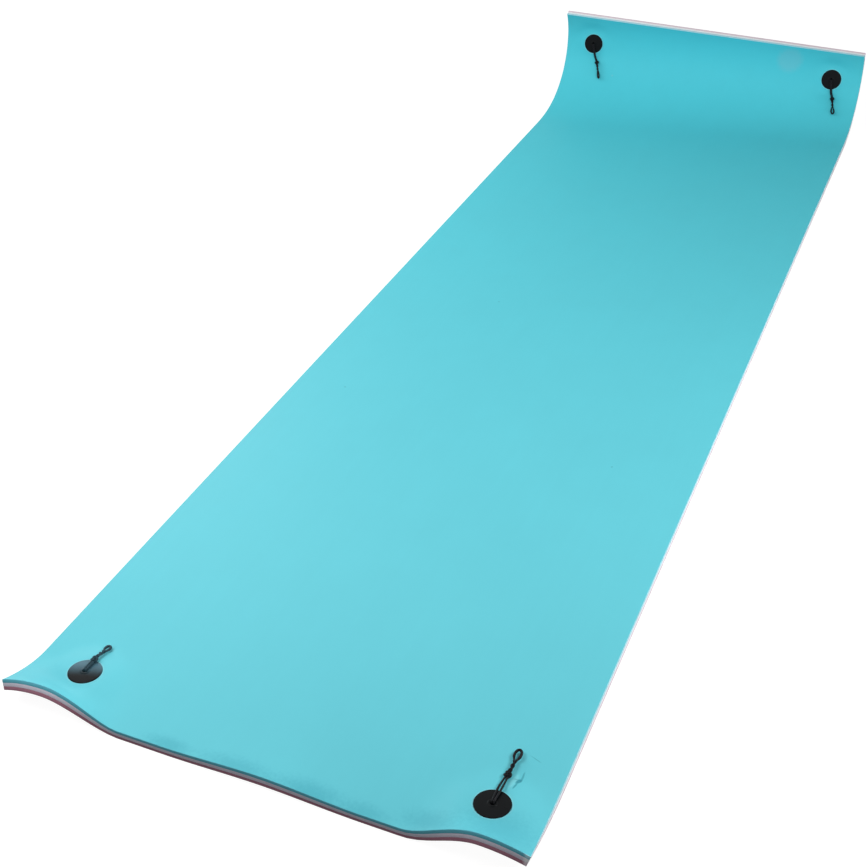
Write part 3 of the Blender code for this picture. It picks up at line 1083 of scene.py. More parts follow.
@dataclass
class FoamSheet:
    """One of the three bonded foam sheets."""

    form: MatForm
    name: str
    number: int
    slot: Part
    skin: FoamSkin
    cut_side: CutFoam
    outer_round: float = 0.0012
    inner_round: float = 0.0005
    bulge: float = 0.0003
    support: float = 0.0030
    band: float = 0.082
    fine_step: float = 0.0065
    side_step: float = 0.032
    edge_step: float = 0.014
    end_start: float = 0.010
    end_step: float = 0.012
    lift_step: float = 0.015
    lift_stop: float = 0.46
    flat_start: float = 0.48
    flat_step: float = 0.07
    bend_step: float = 0.016
    bend_margin: float = 0.004
    disc_edge: float = 0.0575
    press_depth: float = 0.0004
    press_rise: float = 0.0012
    press_foot: float = 0.005
    press_lip: float = 0.004
    press_reach: float = 0.018
    hole_radius: float = 0.0123
    hole_steps: int = 64
    round_shares: tuple[tuple[float, float], ...] = (
        (1.0, 0.0), (0.5, 0.13), (0.13, 0.5), (0.0, 1.0))

    def lines(self) -> tuple[Array, Array]:
        """Lines of the sheet's net, close together where the form is tight.

        Returns:
            Places of the lines across the sheet and along it.
        """
        half, length, band = self.form.half_width, self.form.length, self.band
        curl = length - max(self.form.curl_length)
        near = half - max(self.form.side_insets) - band
        far = half - min(self.form.side_insets) + band
        side = np.concatenate([
            np.arange(0.0, near, self.side_step), np.arange(near, far, self.fine_step),
            np.arange(far, half - 2 * self.support, self.edge_step), [half - self.support, half]])
        across = np.concatenate([-side[:0:-1], side])
        front_end, back_end = (np.concatenate([
            [0.0, self.support], np.arange(self.end_start, inset - band, self.end_step),
            np.arange(inset - band, inset + band, self.fine_step)])
            for inset in self.form.end_insets)
        front_inset, back_inset = self.form.end_insets
        lift = np.arange(front_inset + band, self.lift_stop, self.lift_step)
        middle = np.arange(self.flat_start, curl, self.flat_step)
        bend = np.arange(curl, length - back_inset - band - self.bend_margin, self.bend_step)
        back = length - back_end[::-1]
        return across, np.concatenate([front_end, lift, middle, bend, back])

    def pressed(self, across: Array, along: Array) -> Array:
        """How far the outer skin stands up beside a disc or sinks under it.

        Args:
            across: Places across the sheet.
            along: Places along the sheet.

        Returns:
            The heights, below zero where the skin sinks.
        """
        rise = np.zeros(np.broadcast(across, along).shape)
        for corner in Corner:
            disc_across, disc_along = self.form.place(corner)
            reach = np.hypot(across - disc_across, along - disc_along) - self.disc_edge
            beside = np.maximum(reach, 0)
            hump = (self.press_rise * Form.ease(reach / self.press_foot)
                    * Form.fade(beside, self.press_reach))
            dip = self.press_depth * Form.fade(beside, self.press_lip)
            rise += np.where(reach < 0, -self.press_depth, hump - dip)
        return rise

    def section(self) -> list[tuple[float, float]]:
        """Rounded section of the cut side, from the bottom to the top.

        Returns:
            Inset and height of each point.
        """
        layer = self.form.layer
        low = self.outer_round if self.number == 0 else self.inner_round
        high = self.outer_round if self.number == 2 else self.inner_round
        bottom = [(inset * low, up * low) for inset, up in self.round_shares]
        top = [(inset * high, layer - up * high) for inset, up in reversed(self.round_shares)]
        return bottom + [(-self.bulge, layer / 2)] + top

    @property
    def base(self) -> float:
        """Height of the sheet's lower side over the mat's underside."""
        return self.number * (self.form.layer + self.form.bond)

    def side_points(self, across: Array, along: Array, level: int) -> Array:
        """Points of the sheet's lower or upper side.

        Args:
            across: Lines of the net across the sheet.
            along: Lines of the net along the sheet.
            level: 0 for the lower side and 1 for the upper.

        Returns:
            The points, row by row.
        """
        half, length = self.form.half_width, self.form.length
        inset, height = self.section()[-level]
        net_x, net_y = np.meshgrid(np.clip(across, -half + inset, half - inset),
                                   np.clip(along, inset, length - inset))
        outer = (self.number, level) in ((0, 0), (2, 1))
        rise = self.pressed(net_x, net_y) * (1 if level else -1) if outer else 0.0
        return self.form.point(net_x, net_y, self.base + height + rise).reshape(-1, 3)

    def ring_points(self, rim_x: Array, rim_y: Array, inset: float, height: float) -> Array:
        """Points of one line round the cut side.

        Args:
            rim_x: Places of the rim across the sheet.
            rim_y: Places of the rim along the sheet.
            inset: How far the line lies inside the rim, or outside it where it is negative.
            height: Height over the sheet's lower side.

        Returns:
            The points.
        """
        half, length, inside = self.form.half_width, self.form.length, max(inset, 0)
        ring_x = np.clip(rim_x, -half + inside, half - inside)
        ring_y = np.clip(rim_y, inside, length - inside)
        if inset < 0:
            ring_x = np.where(np.abs(rim_x) >= half, rim_x * (1 - inset / half), rim_x)
            ring_y = np.where(rim_y >= length, length - inset, rim_y)
            ring_y = np.where(rim_y <= 0, inset, ring_y)
        return self.form.point(ring_x, ring_y, np.full(len(rim_x), self.base + height))

    def build(self, cutters: list[bpy.types.Object]) -> bpy.types.Object:
        """Makes the sheet, cuts its holes and dresses it.

        Args:
            cutters: Shapes of the holes.

        Returns:
            The sheet's object.
        """
        across, along = self.lines()
        points = [self.side_points(across, along, level) for level in (0, 1)]
        faces, cut_faces = [], []
        count = len(across) * len(along)
        spot = np.arange(count).reshape(len(along), len(across))
        quads = np.stack([spot[:-1, :-1], spot[:-1, 1:], spot[1:, 1:], spot[1:, :-1]], axis=-1)
        quads = quads.reshape(-1, 4)
        faces += [tuple(face) for face in quads[:, ::-1].tolist()]
        faces += [tuple(face) for face in (quads + count).tolist()]
        rim = np.concatenate([spot[0, :-1], spot[:-1, -1], spot[-1, :0:-1], spot[:0:-1, 0]])
        rim_x, rim_y = np.meshgrid(across, along)
        rim_x, rim_y = rim_x.reshape(-1)[rim], rim_y.reshape(-1)[rim]
        rings = [rim]
        for inset, height in self.section()[1:-1]:
            start = sum(len(part) for part in points)
            points.append(self.ring_points(rim_x, rim_y, inset, height))
            rings.append(np.arange(start, start + len(rim)))
        rings.append(rim + count)
        for low, high in zip(rings, rings[1:]):
            side = np.stack([low, np.roll(low, -1), np.roll(high, -1), high], axis=-1)
            cut_faces += [tuple(face) for face in side.tolist()]
        mesh = Mesher.mesh(self.name, np.concatenate(points), faces + cut_faces)
        mesh.polygons.foreach_set("material_index", np.array(
            [0] * len(faces) + [1] * len(cut_faces), dtype=np.int32))
        item = Mesher.linked(self.name, mesh, [self.skin.make(), self.cut_side.make()])
        Mesher.cut(item, cutters)
        item.data.shade_smooth()
        return item

    def cutters(self) -> list[bpy.types.Object]:
        """Cylinders of the holes that the discs' stems pass through.

        Returns:
            One cylinder per corner.
        """
        shapes = []
        for corner in Corner:
            mesh = bpy.data.meshes.new("hole")
            shape = bmesh.new()
            bmesh.ops.create_cone(shape, cap_ends=True, segments=self.hole_steps,
                                  radius1=self.hole_radius, radius2=self.hole_radius,
                                  depth=2 * self.form.thickness)
            shape.to_mesh(mesh)
            shape.free()
            cutter = bpy.data.objects.new("hole", mesh)
            bpy.context.scene.collection.objects.link(cutter)
            cutter.matrix_world = self.form.pad_matrix(corner, self.form.thickness / 2, 1)
            shapes.append(cutter)
        return shapes

    def dress(self) -> bpy.types.Object:
        """Makes the sheet and ties it to the frame.

        Returns:
            The sheet's object.
        """
        item = self.build(self.cutters())
        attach(item, "mat")
        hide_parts(self.name.replace("_foam", ""))
        return item


@dataclass(frozen=True)
class DiscForm:
    """Sizes of a clamp disc."""

    radius: float = 0.0575
    rim: float = 0.0024
    rim_round: float = 0.0009
    dome: float = 0.0038
    boss_radius: float = 0.0150
    boss: float = 0.0055
    boss_round: float = 0.0012
    bore: float = 0.0085
    stem: float = 0.0118
    stem_gap: float = 0.0010
    seat: float = 0.0003
    steps: int = 96
    crown_points: int = 9
    crown_power: float = 1.7
    foot_share: float = 0.6
    foot_bend: float = 0.3
    round_points: int = 4

    def rounded(self, centre: tuple[float, float], radius: float,
                start: float) -> list[tuple[float, float]]:
        """Quarter round of the outline, turning clockwise.

        Args:
            centre: Radius and height of its middle.
            radius: Its radius.
            start: Angle where it starts, in degrees.

        Returns:
            Its points.
        """
        turns = [math.radians(start - 90 * step / self.round_points)
                 for step in range(self.round_points + 1)]
        return [(centre[0] + radius * math.cos(turn), centre[1] + radius * math.sin(turn))
                for turn in turns]

    def crown(self, radius: float) -> float:
        """Height of the dome at a radius."""
        share = (radius - self.boss_radius) / (self.radius - self.boss_radius)
        return self.dome + (self.rim - self.dome) * share ** self.crown_power

    def outline(self, stem_length: float) -> list[tuple[float, float]]:
        """Closed outline of the disc's half section, out over the top and down the stem.

        Args:
            stem_length: Length of the stem below the disc.

        Returns:
            Radius and height of each point.
        """
        boss_low = self.crown(self.boss_radius)
        foot = self.boss_round * self.foot_share
        bent = foot * self.foot_bend
        profile = self.rounded((self.bore + self.boss_round, self.boss - self.boss_round),
                               self.boss_round, 180.0)
        profile += self.rounded((self.boss_radius - self.boss_round, self.boss - self.boss_round),
                                self.boss_round, 90.0)
        profile += [(self.boss_radius, boss_low + foot),
                    (self.boss_radius + bent, boss_low + bent),
                    (self.boss_radius + foot, boss_low)]
        spread = self.radius - self.rim_round - self.boss_radius
        for step in range(1, self.crown_points):
            radius = self.boss_radius + spread * step / self.crown_points
            profile.append((radius, self.crown(radius)))
        profile += self.rounded((self.radius - self.rim_round, self.rim - self.rim_round),
                                self.rim_round, 90.0)
        lip = self.rim_round / 3
        profile += [(self.radius, lip), (self.radius - lip, 0.0), (self.stem, 0.0),
                    (self.stem, -stem_length), (self.bore, -stem_length)]
        return profile


@dataclass
class ClampDisc:
    """One of the two discs that clamp the foam at a corner."""

    form: MatForm
    disc: DiscForm
    corner: Corner
    facing: int
    finish: bpy.types.Material

    def dress(self) -> bpy.types.Object:
        """Makes the disc, seats it on the foam and ties it to the frame.

        Returns:
            The disc's object.
        """
        node = f"{self.corner.label}_{'top' if self.facing > 0 else 'bottom'}_disc"
        stem = self.form.thickness / 2 + self.disc.seat - self.disc.stem_gap / 2
        mesh = Mesher.turned(node + "_moulded", self.disc.outline(stem), self.disc.steps)
        height = self.form.thickness + self.disc.seat if self.facing > 0 else -self.disc.seat
        mesh.transform(self.form.pad_matrix(self.corner, height, self.facing))
        item = Mesher.linked(node + "_moulded", mesh, [self.finish])
        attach(item, "mat")
        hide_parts(node)
        return item


@dataclass(frozen=True)
class CordForm:
    """Sizes of a tether: its cord, legs, knots, twisted neck and eye."""

    radius: float = 0.0030
    shown_radius: float = 0.0034
    strand_gap: float = 0.0010
    gap: float = 0.0003
    pivot_clearance: float = 0.0012
    legs: tuple[float, float] = (0.110, 0.040)
    necks: tuple[float, float] = (0.046, 0.040)
    eyes: tuple[float, float] = (0.044, 0.030)
    eye_widths: tuple[float, ...] = (0.0185, 0.0205, 0.0100, 0.0165)
    eye_swell: float = 0.34
    eye_swell_reach: float = 0.012
    leg_bows: tuple[float, ...] = (0.0, 0.0021, 0.0, 0.0)
    back_drifts: tuple[float, float] = (math.radians(17), math.radians(12))
    stand_offs: tuple[float, float] = (math.radians(1.5), math.radians(3))
    knot: float = 0.0076
    knot_wind: float = 0.0036
    knot_lift: float = 0.0016
    knot_lobes: int = 3
    knot_rounds: int = 2
    neck_turns: int = 1
    neck_height: float = 0.0075
    eye_height: float = 0.0060
    bend: float = 0.0080
    lay_step: float = 0.004
    lay_margin: float = 0.060
    steady_margin: float = 0.001
    sides: int = 14
    curve_steps: int = 24
    face_points: int = 8
    bore_points: int = 7
    bend_turns: tuple[float, ...] = (15.0, 30.0, 45.0, 60.0, 75.0, 90.0)
    way_points: int = 8
    neck_points: int = 17
    knot_points: int = 108
    strand_points: int = 60
    loop_points: int = 150
    eye_shares: tuple[tuple[float, float], ...] = (
        (0.55, 0.14), (0.92, 0.40), (0.97, 0.66), (0.66, 0.90), (0.0, 1.0))

    @property
    def offset(self) -> float:
        """Half of the distance between the two strands."""
        return self.radius + self.strand_gap / 2

    @property
    def knot_half(self) -> float:
        """Half of a knot's height."""
        return self.knot_wind + self.radius

    @property
    def knot_height(self) -> float:
        """Height of a knot's middle over the foam."""
        return self.knot_half + self.knot_lift

    @property
    def knot_reach(self) -> float:
        """Half of a knot's width."""
        return self.knot + self.knot_wind + self.radius


@dataclass
class Tether:
    """The cord of one corner, from its stopper knot under the foam to the eye at its end."""

    form: MatForm
    disc: DiscForm
    cord: CordForm
    corner: Corner
    finish: bpy.types.Material
    stations: list[tuple[float, Array, Array]] = field(default_factory=list)

    def __post_init__(self) -> None:
        """Lays the stations of the tether's middle line over the foam."""
        cord = self.cord
        drift = cord.back_drifts[self.corner.side > 0]
        heading = math.pi - drift if self.corner.back else 0.0
        reach = (max(cord.legs) + 2 * cord.knot_reach + max(cord.necks) + max(cord.eyes)
                 + cord.lay_margin)
        steps = np.arange(math.ceil(reach / cord.lay_step)) * cord.lay_step
        across, along = self.form.place(self.corner)
        across = across + steps * math.sin(heading)
        along = along + steps * math.cos(heading)
        points = self.form.point(across, along, self.form.thickness + cord.knot_height)
        normals = self.form.slopes(self.form.surface, across, along)[2]
        self.stations = list(zip(Form.travelled(points), points, normals))

    @property
    def label(self) -> str:
        """Name of the corner."""
        return self.corner.label

    @property
    def gathered(self) -> bool:
        """True for the tether that lies gathered up on its disc."""
        return self.corner is Corner.FRONT_LEFT

    @property
    def leg(self) -> float:
        """Length from the bore to the knot."""
        return self.cord.legs[self.gathered]

    @property
    def neck(self) -> float:
        """Length of the twisted neck."""
        return self.cord.necks[self.gathered]

    @property
    def pivot_height(self) -> float:
        """Height over the foam at which the tether turns over the bore's mouth."""
        return self.disc.seat + self.disc.boss + self.cord.radius + self.cord.pivot_clearance

    def spot(self, ahead: float, sideways: float, height: float) -> Array:
        """Point on the tether.

        Args:
            ahead: Way from the bore along the tether.
            sideways: Way to the tether's right.
            height: Height over the foam's top.

        Returns:
            The point in the frame.
        """
        ways = [way for way, _, _ in self.stations]
        index = min(max(int(np.searchsorted(ways, ahead)) - 1, 0), len(ways) - 2)
        way, point, normal = self.stations[index]
        next_way, next_point, next_normal = self.stations[index + 1]
        share = (ahead - way) / (next_way - way)
        up = normal + (next_normal - normal) * share
        up = up / np.linalg.norm(up)
        right = np.cross(next_point - point, up)
        right = right / np.linalg.norm(right)
        lift = math.tan(self.cord.stand_offs[self.corner.back])
        rise = height - self.cord.knot_height + ahead * lift
        return point + (next_point - point) * share + right * sideways + up * rise

    @property
    def knot_ahead(self) -> float:
        """Way from the bore to the knot's middle."""
        return self.leg + self.cord.knot_reach

    @property
    def knot_level(self) -> float:
        """Height of the knot's middle, more where it lies on the disc.

        Returns:
            The height over the foam's top.
        """
        on_disc = self.leg < self.disc.radius
        rest = self.disc.dome + self.disc.seat - self.cord.knot_lift
        return self.cord.knot_height + (rest if on_disc else 0.0)

    def smooth(self, route: Array, count: int) -> Array:
        """Evenly spaced points on a smooth curve through the points of a route.

        Args:
            route: Points of the route.
            count: Number of points to give.

        Returns:
            The points.
        """
        ends = np.vstack([2 * route[0] - route[1], route, 2 * route[-1] - route[-2]])
        steps = np.linspace(0, 1, self.cord.curve_steps, endpoint=False)[:, None]
        fine = []
        for before, start, stop, after in zip(ends, ends[1:], ends[2:], ends[3:]):
            fine.append(0.5 * (2 * start + (stop - before) * steps
                               + (2 * before - 5 * start + 4 * stop - after) * steps ** 2
                               + (3 * start - before - 3 * stop + after) * steps ** 3))
        fine = np.vstack(fine + [route[-1:]])
        ways = Form.travelled(fine)
        even = np.linspace(0, ways[-1], count)
        return np.stack([np.interp(even, ways, fine[:, axis]) for axis in range(3)], axis=1)

    def wound(self, matrix: Matrix) -> Array:
        """Three crossing turns of cord about a frame's +Z.

        Args:
            matrix: The frame.

        Returns:
            Points of the cord's middle line.
        """
        cord = self.cord
        turn = np.linspace(0, math.tau, cord.knot_points, endpoint=False)
        lobe, around = cord.knot_lobes * turn, cord.knot_rounds * turn
        radius = cord.knot + cord.knot_wind * np.cos(lobe)
        flat = np.stack([radius * np.sin(around), radius * np.cos(around),
                         -cord.knot_wind * np.sin(lobe)], axis=1)
        turned = np.array(matrix.to_3x3())
        return flat @ turned.T + np.array(matrix.translation)

    def knot_matrix(self) -> Matrix:
        """Frame of the tether's knot.

        Returns:
            The frame, with Y along the tether.
        """
        middle, level, probe = self.knot_ahead, self.knot_level, self.form.probe
        centre = Vector(self.spot(middle, 0.0, level))
        ahead = (Vector(self.spot(middle + probe, 0.0, level)) - centre).normalized()
        right = Vector(self.spot(middle, probe, level)) - centre
        up = right.cross(ahead).normalized()
        axes = Matrix((ahead.cross(up), ahead, up)).transposed().to_4x4()
        return Matrix.Translation(centre) @ axes

    def seat(self, knot: Array, start: float, stop: float, sideways: float) -> float:
        """Place where a strand's flat end meets the knot.

        Args:
            knot: Points of the knot's middle line.
            start: Way from the bore where the search starts.
            stop: Way from the bore where it ends.
            sideways: Way of the strand to the tether's right.

        Returns:
            The way from the bore.
        """
        cord = self.cord
        turns = [math.tau * step / cord.face_points for step in range(cord.face_points)]
        for ahead in np.linspace(start, stop, math.ceil(abs(stop - start) / cord.gap)):
            face = [self.spot(ahead, sideways + cord.radius * math.cos(turn),
                              self.knot_level + cord.radius * math.sin(turn)) for turn in turns]
            face.append(self.spot(ahead, sideways, self.knot_level))
            away = np.linalg.norm(knot[:, None] - np.array(face)[None], axis=-1).min()
            if away < cord.radius + 2 * cord.gap:
                return float(ahead)
        return stop

    def strand_route(self, sideways: float, end: float) -> Array:
        """One strand: up the bore, round over its mouth, over the disc's rim to the knot.

        Args:
            sideways: Way of the strand to the tether's right.
            end: Way from the bore to the strand's end.

        Returns:
            Points of the strand's middle line.
        """
        cord, level = self.cord, self.knot_level
        low = -self.form.thickness - self.disc.seat - self.disc.boss - cord.gap / 2
        route = [self.spot(0.0, sideways, height)
                 for height in np.linspace(low, self.pivot_height - cord.bend, cord.bore_points)]
        for turn in cord.bend_turns:
            ahead = cord.bend * (1 - math.cos(math.radians(turn)))
            height = self.pivot_height - cord.bend * (1 - math.sin(math.radians(turn)))
            route.append(self.spot(ahead, sideways, height))
        steady = max(self.disc.boss_radius, cord.bend + cord.steady_margin)
        bow = math.copysign(cord.leg_bows[self.corner.number], sideways)
        for share in np.linspace(0, 1, cord.way_points)[1:]:
            ahead = steady + (end - steady) * share
            height = self.pivot_height + (level - self.pivot_height) * float(Form.ease(share))
            route.append(self.spot(ahead, sideways + bow * math.sin(math.pi * share), height))
        return self.smooth(np.array(route), cord.strand_points)

    def loop_route(self, start: float, first: float) -> Array:
        """Cord from the knot, twisted up the neck, round the eye and twisted back.

        Args:
            start: Way from the bore to the loop's two ends, which meet the knot.
            first: Way from the bore to the end of the knot.

        Returns:
            Points of the loop's middle line.
        """
        cord, level = self.cord, self.knot_level
        twist_start = start + 2 * cord.radius
        outward = [(start, math.pi, level)]
        for share in np.linspace(0, 1, cord.neck_points):
            outward.append((twist_start + (first + self.neck - twist_start) * share,
                            math.pi + math.tau * cord.neck_turns * share,
                            level + (cord.neck_height - level) * float(Form.ease(share))))
        strands = [np.array([self.spot(ahead, cord.offset * math.cos(turn + phase),
                                       height + cord.offset * math.sin(turn + phase))
                             for ahead, turn, height in outward]) for phase in (0.0, math.pi)]
        length, width = cord.eyes[self.gathered], cord.eye_widths[self.corner.number]
        eye = [np.array([self.spot(first + self.neck + far * length,
                                   side * (max(wide * width / 2, cord.offset) if wide else 0.0),
                                   cord.eye_height)
                         for wide, far in cord.eye_shares]) for side in (-1, 1)]
        route = np.vstack([strands[0], eye[0], eye[1][-2::-1], strands[1][::-1]])
        return self.smooth(route, cord.loop_points)

    def loop_radius(self, line: Array) -> Array:
        """Half of the loop's thickness along its line, more round the eye where it is bent.

        Args:
            line: Points of the loop's middle line.

        Returns:
            The radius at each point.
        """
        cord, ways = self.cord, Form.travelled(line)
        eye = cord.eyes[self.gathered] - np.abs(ways - ways[-1] / 2)
        return cord.shown_radius * (1 + cord.eye_swell * Form.ease(eye / cord.eye_swell_reach))

    def piece(self, name: str, line: Array, closed: bool,
              radius: Array | None = None) -> bpy.types.Object:
        """A stretch of cord along a line.

        Args:
            name: Name of the piece.
            line: Points of its middle line.
            closed: True where it closes on itself.
            radius: Half of its thickness at each point, if it changes.

        Returns:
            The piece's object.
        """
        thick = self.cord.shown_radius if radius is None else radius
        mesh = Mesher.tube(name, line, thick, self.cord.sides, closed)
        return Mesher.linked(name, mesh, [self.finish])

    def tied(self, item: bpy.types.Object, body: str, *nodes: str) -> None:
        """Ties a piece to a body and to the nodes that it stands for.

        Args:
            item: The piece.
            body: Name of the body without the corner.
            nodes: Names of the nodes without the corner.
        """
        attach(item, f"{self.label}_{body}")
        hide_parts(*(f"{self.label}_{node}" for node in nodes))

    def dress(self) -> list[bpy.types.Object]:
        """Makes the whole tether and ties it to the frame.

        Returns:
            The tether's objects.
        """
        cord, label = self.cord, self.label
        under = -(self.disc.seat + self.disc.boss + cord.gap / 2 + cord.knot_half)
        stopper = self.piece(f"{label}_stopper_winding",
                             self.wound(self.form.pad_matrix(self.corner, under, 1)), True)
        self.tied(stopper, "swivel", "stopper_knot")
        winding = self.wound(self.knot_matrix())
        knot = self.piece(f"{label}_knot_winding", winding, True)
        self.tied(knot, "tether", "tether_knot")
        made = [stopper, knot]
        for side, sideways in (("left", -cord.offset), ("right", cord.offset)):
            end = self.seat(winding, self.disc.boss_radius, self.knot_ahead, sideways)
            line = self.strand_route(sideways, end)
            strand = self.piece(f"{label}_strand_{side}", line, False)
            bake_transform(strand)
            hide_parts(f"{label}_bore_cord_{side}", f"{label}_tether_leg_{side}")
            float(Form.travelled(line)[-1])
            made.append(strand)
        past_knot = self.knot_ahead + cord.knot_reach
        start = max(self.seat(winding, past_knot + self.neck, self.knot_ahead, sideways)
                    for sideways in (-cord.offset, cord.offset))
        line = self.loop_route(start, past_knot)
        loop = self.piece(f"{label}_eye_loop", line, False, self.loop_radius(line))
        self.tied(loop, "tether", "tether_loop")
        float(Form.travelled(line)[-1])
        return made + [loop]


@dataclass(frozen=True)
class Lamp:
    """A soft lamp: where it is, what it looks at, its size and its power."""

    name: str
    place: tuple[float, float, float]
    aim: tuple[float, float, float]
    size: tuple[float, float]
    power: float
    colour: Colour = WHITE

    def hang(self) -> None:
        """Adds the lamp to the scene."""
        data = bpy.data.lights.new(self.name, "AREA")
        data.shape = "RECTANGLE"
        data.size, data.size_y = self.size
        data.energy = self.power
        data.color = self.colour
        lamp = bpy.data.objects.new(self.name, data)
        bpy.context.scene.collection.objects.link(lamp)
        away = Vector(self.aim) - Vector(self.place)
        lamp.matrix_world = (Matrix.Translation(Vector(self.place))
                             @ away.to_track_quat("-Z", "Y").to_matrix().to_4x4())


@dataclass(frozen=True)
class Studio:
    """Camera, lamps, sky and floor."""

    width_px: float = 866.0
    focal_px: float = 1277.5
    sensor: float = 36.0
    eye: tuple[float, float, float] = (1.6815, -5.1157, 3.1252)
    pitch: float = math.radians(35.494)
    yaw: float = math.radians(-25.474)
    roll: float = math.radians(-2.99)
    sky: float = 0.19
    floor_size: float = 60.0
    floor_drop: float = 0.0006
    lamps: tuple[Lamp, ...] = (
        Lamp("right", (3.4, -1.6, 3.2), (0.0, -1.6, 0.0), (1.2, 1.2), 80.0),
        Lamp("front_left", (-1.6, -3.2, 2.6), (-0.9, -2.7, 0.0), (1.5, 1.5), 40.0),
        Lamp("to_curl", (2.5, -1.5, 4.0), (0.0, 2.7, 0.3), (3.0, 2.0), 26.0),
        Lamp("to_curl_left", (-2.0, -1.0, 4.0), (-0.3, 2.7, 0.4), (3.0, 2.0), 58.0),
        Lamp("low_left", (-4.0, 1.5, 2.0), (0.0, 0.0, 0.0), (2.0, 3.0), 99.0),
        Lamp("low_right", (4.5, -0.2, 0.24), (0.9, -0.2, 0.0), (5.0, 0.4), 85.0),
    )

    def camera(self) -> None:
        """Places the camera as the photograph's was."""
        ahead = Vector((math.sin(self.yaw) * math.cos(self.pitch),
                        math.cos(self.yaw) * math.cos(self.pitch), -math.sin(self.pitch)))
        right = Vector((math.cos(self.yaw), -math.sin(self.yaw), 0.0))
        up = right.cross(ahead)
        rolled_right = right * math.cos(self.roll) + up * math.sin(self.roll)
        rolled_up = up * math.cos(self.roll) - right * math.sin(self.roll)
        data = bpy.data.cameras.new("camera")
        data.sensor_fit = "HORIZONTAL"
        data.sensor_width = self.sensor
        data.lens = self.focal_px * self.sensor / self.width_px
        camera = bpy.data.objects.new("camera", data)
        bpy.context.scene.collection.objects.link(camera)
        axes = Matrix((rolled_right, rolled_up, -ahead)).transposed().to_4x4()
        camera.matrix_world = Matrix.Translation(Vector(self.eye)) @ axes
        bpy.context.scene.camera = camera

    def sky_light(self) -> None:
        """White sky for the camera and a soft, even light for the mat."""
        net = Net.of_sky("sky")
        bpy.context.scene.world = net.owner
        net.feed(net.shader.inputs["Color"], WHITE)
        net.feed(net.shader.inputs["Strength"], self.sky)
        seen = net.make("ShaderNodeBackground", {}, {"Color": WHITE})
        net.split(net.shader.outputs[0], seen.outputs[0])

    def floor(self) -> None:
        """Lays the floor."""
        half = self.floor_size / 2
        points = np.array([(x, y, -self.floor_drop) for x, y in
                           ((-half, -half), (half, -half), (half, half), (-half, half))])
        floor = Mesher.linked("floor", Mesher.mesh("floor", points, [(0, 1, 2, 3)]),
                              [PaleFloor().make()])

    def set_up(self) -> None:
        """Sets up the floor, the sky and the lamps."""
        bpy.context.scene.view_settings.view_transform = "Standard"
        self.floor()
        self.sky_light()
        for lamp in self.lamps:
            lamp.hang()


SCUFF_PALE: Colour = (0.26, 0.78, 0.86)
SCUFF_DARK: Colour = (0.02, 0.21, 0.28)
# Darker teal of soft patches along the front edge and at the front corners: painted shade.
PAINTED_SHADE_TEAL: Colour = (0.075, 0.44, 0.54)
SMUDGE: Colour = (0.17, 0.56, 0.66)
SPECK: Colour = (0.03, 0.20, 0.26)
# Bluish colours of the front left cord: painted sheen, a haze of light over that corner.
PAINTED_SHEEN_CORD: Colour = (0.015, 0.042, 0.056)
PAINTED_SHEEN_CORD_LIGHT: Colour = (0.060, 0.115, 0.145)
# Strength of the painted sheen on the front left top disc.
DISC_PAINTED_SHEEN = 0.75

# Across, along, length, width, turn, colour, strength, softness and whether it is upright.
DECK_MARKS = (
    Mark(0.7722, -2.7720, 0.075, 0.017, math.radians(83), SCUFF_PALE, 0.62),
    Mark(0.7861, -2.7661, 0.026, 0.013, math.radians(60), SCUFF_DARK, 0.72),
    Mark(0.7828, -2.7890, 0.030, 0.006, math.radians(80), SCUFF_DARK, 0.58),
    Mark(0.7912, -2.7450, 0.046, 0.007, math.radians(94), SCUFF_DARK, 0.50),
    Mark(0.7800, -2.7600, 0.022, 0.005, math.radians(5), SCUFF_DARK, 0.30),
    Mark(0.8030, -2.6635, 0.046, 0.004, math.radians(-20), SCUFF_DARK, 0.35),
    # Soft patches of painted shade along the front edge, where the foam curves down, and at the
    # front corners.
    Mark(-0.2900, -3.0350, 0.170, 0.060, 0.0, PAINTED_SHADE_TEAL, 0.58, 0.9),
    Mark(-0.0300, -3.0380, 0.260, 0.080, 0.0, PAINTED_SHADE_TEAL, 0.58, 0.9),
    Mark(0.2200, -3.0380, 0.240, 0.090, 0.0, PAINTED_SHADE_TEAL, 0.66, 0.9),
    Mark(0.4000, -3.0380, 0.160, 0.070, 0.0, PAINTED_SHADE_TEAL, 0.54, 0.9),
    Mark(0.5950, -3.0060, 0.170, 0.090, 0.0, PAINTED_SHADE_TEAL, 0.58, 0.9),
    Mark(0.8150, -2.9750, 0.260, 0.170, -0.2, PAINTED_SHADE_TEAL, 0.50, 0.9),
    Mark(-0.7900, -2.9500, 0.230, 0.130, 0.2, PAINTED_SHADE_TEAL, 0.26, 0.9),
    Mark(-0.688, -1.018, 0.008, 0.006, 0.0, SPECK, 0.60),
    Mark(-0.322, -0.091, 0.008, 0.006, 0.4, SPECK, 0.60),
    Mark(0.580, -1.168, 0.008, 0.006, 0.8, SPECK, 0.50),
    Mark(0.485, 0.365, 0.160, 0.150, 0.3, SMUDGE, 0.56, 0.4, True),
    Mark(-0.590, 0.200, 0.012, 0.010, 0.0, SMUDGE, 0.60, 0.4, True),
)


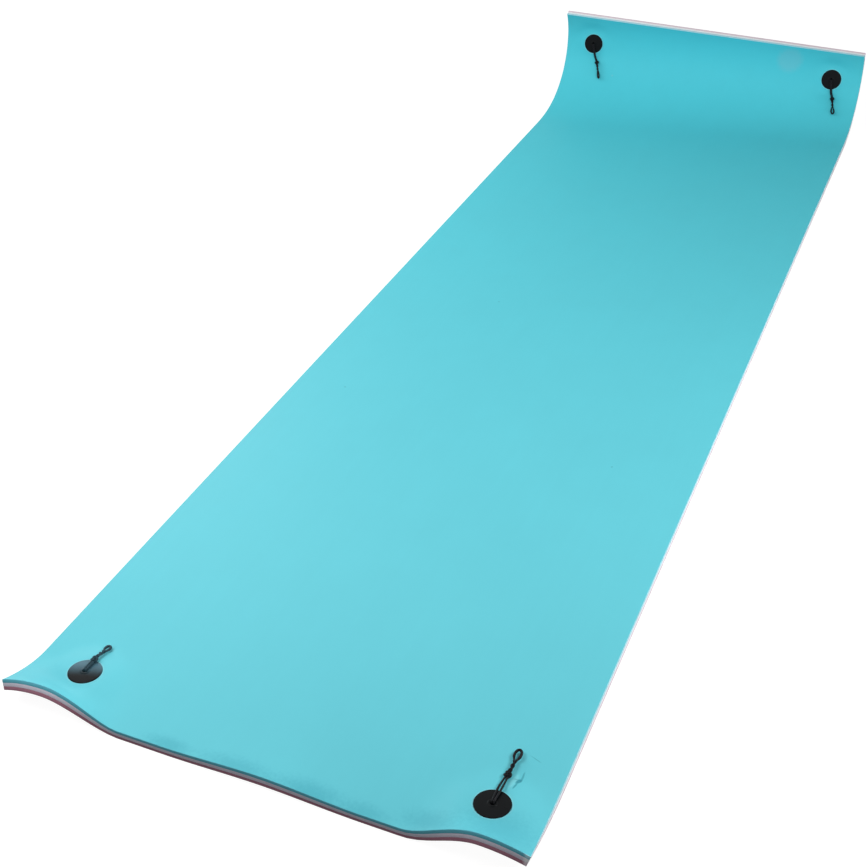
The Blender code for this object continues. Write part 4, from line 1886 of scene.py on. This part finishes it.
def dress_foam(form: MatForm) -> None:
    """Makes the three bonded sheets from the bottom up.

    Args:
        form: Sizes and surface of the mat.
    """
    # The deck's colour towards the back has less red: painted light.
    teal, far_painted_light_teal = (0.138, 0.606, 0.700), (0.082, 0.600, 0.705)
    white, rose = (0.80, 0.81, 0.85), (0.43, 0.120, 0.195)
    discs = tuple(tuple(form.pad_matrix(corner, form.thickness, 1).translation)
                  for corner in Corner)
    sheets = (
        FoamSheet(form, "foam_layer_bottom_foam", 0, Part.ROSE, FoamSkin("rose_skin", rose, rose),
                  CutFoam("rose_cut", colour=(0.35, 0.160, 0.215), pale=(0.76, 0.64, 0.71))),
        FoamSheet(form, "foam_layer_middle_foam", 1, Part.WHITE,
                  FoamSkin("white_skin", white, white),
                  CutFoam("white_cut", colour=(0.64, 0.62, 0.72), pale=(0.88, 0.91, 0.94))),
        FoamSheet(form, "foam_layer_top_foam", 2, Part.TEAL,
                  FoamSkin("teal_skin", teal, far_painted_light_teal, marks=DECK_MARKS, discs=discs),
                  CutFoam("teal_cut", colour=(0.114, 0.460, 0.570), pale=(0.42, 0.73, 0.82))),
    )
    for sheet in sheets:
        item = sheet.dress()
        log.info("%s: %d faces", item.name, len(item.data.polygons))


def main() -> None:
    """Builds the camera, the tethers, the discs, the foam and the studio, in that order."""
    logging.basicConfig(level=logging.INFO, format="%(name)s: %(message)s")
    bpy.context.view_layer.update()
    form, disc, cord = MatForm(), DiscForm(), CordForm()
    studio = Studio()
    studio.camera()
    braid = BraidedCord("braided_cord").make()
    # The front left cord gets a painted sheen.
    painted_sheen_braid = BraidedCord("painted_sheen_braided_cord", PAINTED_SHEEN_CORD, PAINTED_SHEEN_CORD_LIGHT).make()
    for corner in Corner:
        finish = painted_sheen_braid if corner is Corner.FRONT_LEFT else braid
        for item in Tether(form, disc, cord, corner, finish).dress():
            log.info("%s", item.name)
    plastic = MouldedPlastic("moulded_plastic").make()
    # The front left top disc gets a painted sheen.
    middle = form.pad_matrix(Corner.FRONT_LEFT, form.thickness, 1).translation
    painted_sheen_plastic = MouldedPlastic("painted_sheen_moulded_plastic", film=DISC_PAINTED_SHEEN,
                                    film_middle=(middle.x, middle.y)).make()
    for corner in Corner:
        for facing in (1, -1):
            gets_painted_sheen = corner is Corner.FRONT_LEFT and facing > 0
            finish = painted_sheen_plastic if gets_painted_sheen else plastic
            log.info("%s", ClampDisc(form, disc, corner, facing, finish).dress().name)
    dress_foam(form)
    studio.set_up()


if __name__ == "__main__":
    main()
